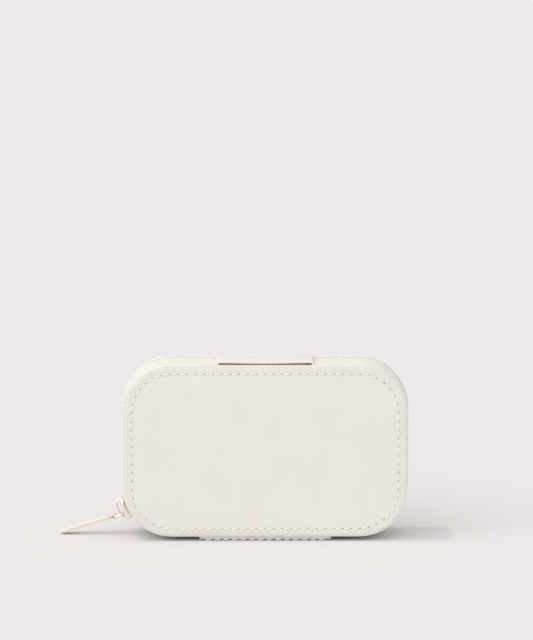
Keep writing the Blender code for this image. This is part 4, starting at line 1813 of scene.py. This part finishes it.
        def gather(point: Vector) -> tuple[float, float, float]:
            """Bulge the cloth forwards and fold it, more towards the elastic."""
            across, up = point.x + 0.5, point.z + 0.5
            edge = min(across, 1 - across)
            bulge = min(1.0, edge / 0.07) ** 0.5 * min(1.0, (up + 0.02) / 0.16) ** 0.5
            fold = math.sin(2 * math.pi * pleats * across + 1.3 * math.sin(9 * up + 5 * across))
            depth = (0.25 + 0.75 * up ** 1.5) * 0.75 * MM * min(1.0, edge / 0.05)
            front = high.y - 1.3 * MM
            y = low.y + hem + (front - low.y - hem) * bulge + fold * depth
            return (low.x + (high.x - low.x) * across, y, low.z + (high.z - low.z) * up)

        shape_by(pocket, gather)
        modify(pocket, "SOLIDIFY", thickness=0.4 * MM, offset=0.0)
        outward(pocket)
        complete(pocket, self.palette.gathered_cloth, 80.0, "lid", "lining", "chain_pocket")

        low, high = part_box("pocket_elastic")
        band = block_over("pocket_elastic_band", "pocket_elastic")
        subdivide_along(band, 0, 130)

        def ruffle(point: Vector) -> tuple[float, float, float]:
            """Wave a point of the band in and out."""
            across = (point.x - low.x) / (high.x - low.x)
            wave = math.sin(2 * math.pi * pleats * 2 * across) * 0.22 * MM
            return (point.x, point.y + wave, point.z + 0.4 * wave)

        shape_by(band, ruffle)
        round_off(band, 0.25 * MM, 2, 50.0)
        complete(band, self.palette.elastic, 50.0, "lid", "lining", "pocket_elastic")


# ---------------------------------------------------------------- studio


@dataclass(frozen=True)
class Studio:
    """The plain floor, the soft light and the camera."""

    floor_colour: Colour = (0.763, 0.737, 0.736)
    floor_size: float = 60.0
    dome_colour: Colour = (0.985, 1.0, 1.0)
    dome_strength: float = 0.82
    key_colour: Colour = (1.0, 0.82, 0.77)
    key_energy: float = 0.385
    key_tilt: float = math.radians(-18.0)
    key_spread: float = math.radians(3.0)
    fill_colour: Colour = (1.0, 1.0, 1.0)
    fill_energy: float = 1.30
    fill_spread: float = math.radians(80.0)
    fill_tilt: float = math.radians(62.0)
    fill_from_left: float = math.radians(-42.0)
    camera_distance: float = 3.2
    camera_azimuth: float = math.radians(-0.44)
    camera_elevation: float = math.radians(8.32)
    camera_lens: float = 331.6
    aim: tuple[float, float, float] = (0.0008, -0.002, 0.1179)

    def build(self) -> None:
        """Build the whole studio."""
        self.build_floor()
        self.build_light()
        self.build_camera()
        bpy.context.scene.view_settings.view_transform = "Standard"

    def build_floor(self) -> None:
        """Lay the floor, which drops when the open lid or the swinging pull hangs below the box."""
        deselect_all()
        bpy.ops.mesh.primitive_plane_add(size=self.floor_size)
        floor = bpy.context.object
        floor.name = "studio_floor"
        work = Shading("studio_floor_paint", self.floor_colour, 0.9)
        work.shader.inputs["Specular IOR Level"].default_value = 0.0
        dress(floor, work.material)
        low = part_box("pull_tab")[0]
        hanging = {"lid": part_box("front_wall_leather")[1], "pull": Vector((low.x - 2 * MM, 0.0, 0.0))}
        for body, place in hanging.items():
            marker = bpy.data.objects.new(f"{body}_far_end", None)
            marker.location = place
            bpy.context.collection.objects.link(marker)
            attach(marker, body)
            below = floor.constraints.new("FLOOR")
            below.target = marker
            below.floor_location = "FLOOR_NEGATIVE_Z"

    def build_light(self) -> None:
        """Hang the dome, the key from above and the soft fill from the front."""
        world = bpy.data.worlds.new("studio_dome")
        bpy.context.scene.world = world
        world.use_nodes = True
        background = world.node_tree.nodes["Background"]
        background.inputs["Color"].default_value = (*self.dome_colour, 1.0)
        background.inputs["Strength"].default_value = self.dome_strength
        self.add_sun("key", self.key_colour, self.key_energy, self.key_spread, (0.0, self.key_tilt, 0.0))
        self.add_sun("fill", self.fill_colour, self.fill_energy, self.fill_spread,
                     (self.fill_tilt, 0.0, self.fill_from_left))

    def add_sun(self, name: str, colour: Colour, energy: float, spread: float,
                turn: Sequence[float]) -> None:
        """Add one distant lamp.

        Args:
            name: The lamp's name.
            colour: Its colour.
            energy: Its strength.
            spread: The angle it covers, which softens its shadows.
            turn: Its rotation; unturned it shines straight down.
        """
        lamp = bpy.data.lights.new(name, "SUN")
        lamp.energy = energy
        lamp.color = colour
        lamp.angle = spread
        holder = bpy.data.objects.new(name, lamp)
        holder.rotation_euler = turn
        bpy.context.collection.objects.link(holder)

    def build_camera(self) -> None:
        """Set the long-lens camera a little above the box."""
        camera = bpy.data.cameras.new("camera")
        camera.lens = self.camera_lens
        camera.sensor_width = 36.0
        camera.clip_end = 100.0
        holder = bpy.data.objects.new("camera", camera)
        level = math.cos(self.camera_elevation)
        back = Vector((math.sin(self.camera_azimuth) * level, -math.cos(self.camera_azimuth) * level,
                       math.sin(self.camera_elevation)))
        holder.location = Vector(self.aim) + back * self.camera_distance
        holder.rotation_euler = (-back).to_track_quat("-Z", "Y").to_euler()
        bpy.context.collection.objects.link(holder)
        bpy.context.scene.camera = holder


def strap_slits() -> list[tuple[Span, Span]]:
    """Find the slits that the strap's ends go into.

    Returns:
        The X and Y limits of each slit.
    """
    slits = []
    for label in ("left", "right"):
        low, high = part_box(f"handle_end_{label}")
        outer = max(abs(low.x), abs(high.x))
        near, far = outer - STRAP_THICKNESS - SLIT_CLEARANCE, outer + SLIT_CLEARANCE
        sign = -1 if label == "left" else 1
        slits.append(((min(sign * near, sign * far), max(sign * near, sign * far)),
                      (low.y - SLIT_CLEARANCE, high.y + SLIT_CLEARANCE)))
    return slits


def main() -> None:
    """Build every sub-assembly round the frame, in order."""
    logging.basicConfig(level=logging.INFO, format="%(message)s")
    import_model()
    palette = Palette()
    low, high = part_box("front_wall_leather")
    path = CasePath(CORNER_RADIUS, high.x - CORNER_RADIUS, low.z + CORNER_RADIUS, high.z - CORNER_RADIUS)

    slider = Slider(palette, path)
    CaseHalf(Side.BACK, path, palette, slider_stop=slider.stop).build()
    CaseHalf(Side.FRONT, path, palette, slits=strap_slits(), slider_stop=slider.stop).build()
    HingeStrip(palette, path).build()
    CarryStrap(palette, high.z).build()
    slider.build()
    Pull(palette, slider.pin).build()
    RingTrays(palette).build()
    LidFittings(palette).build()
    Studio().build()


if __name__ == "__main__":
    main()
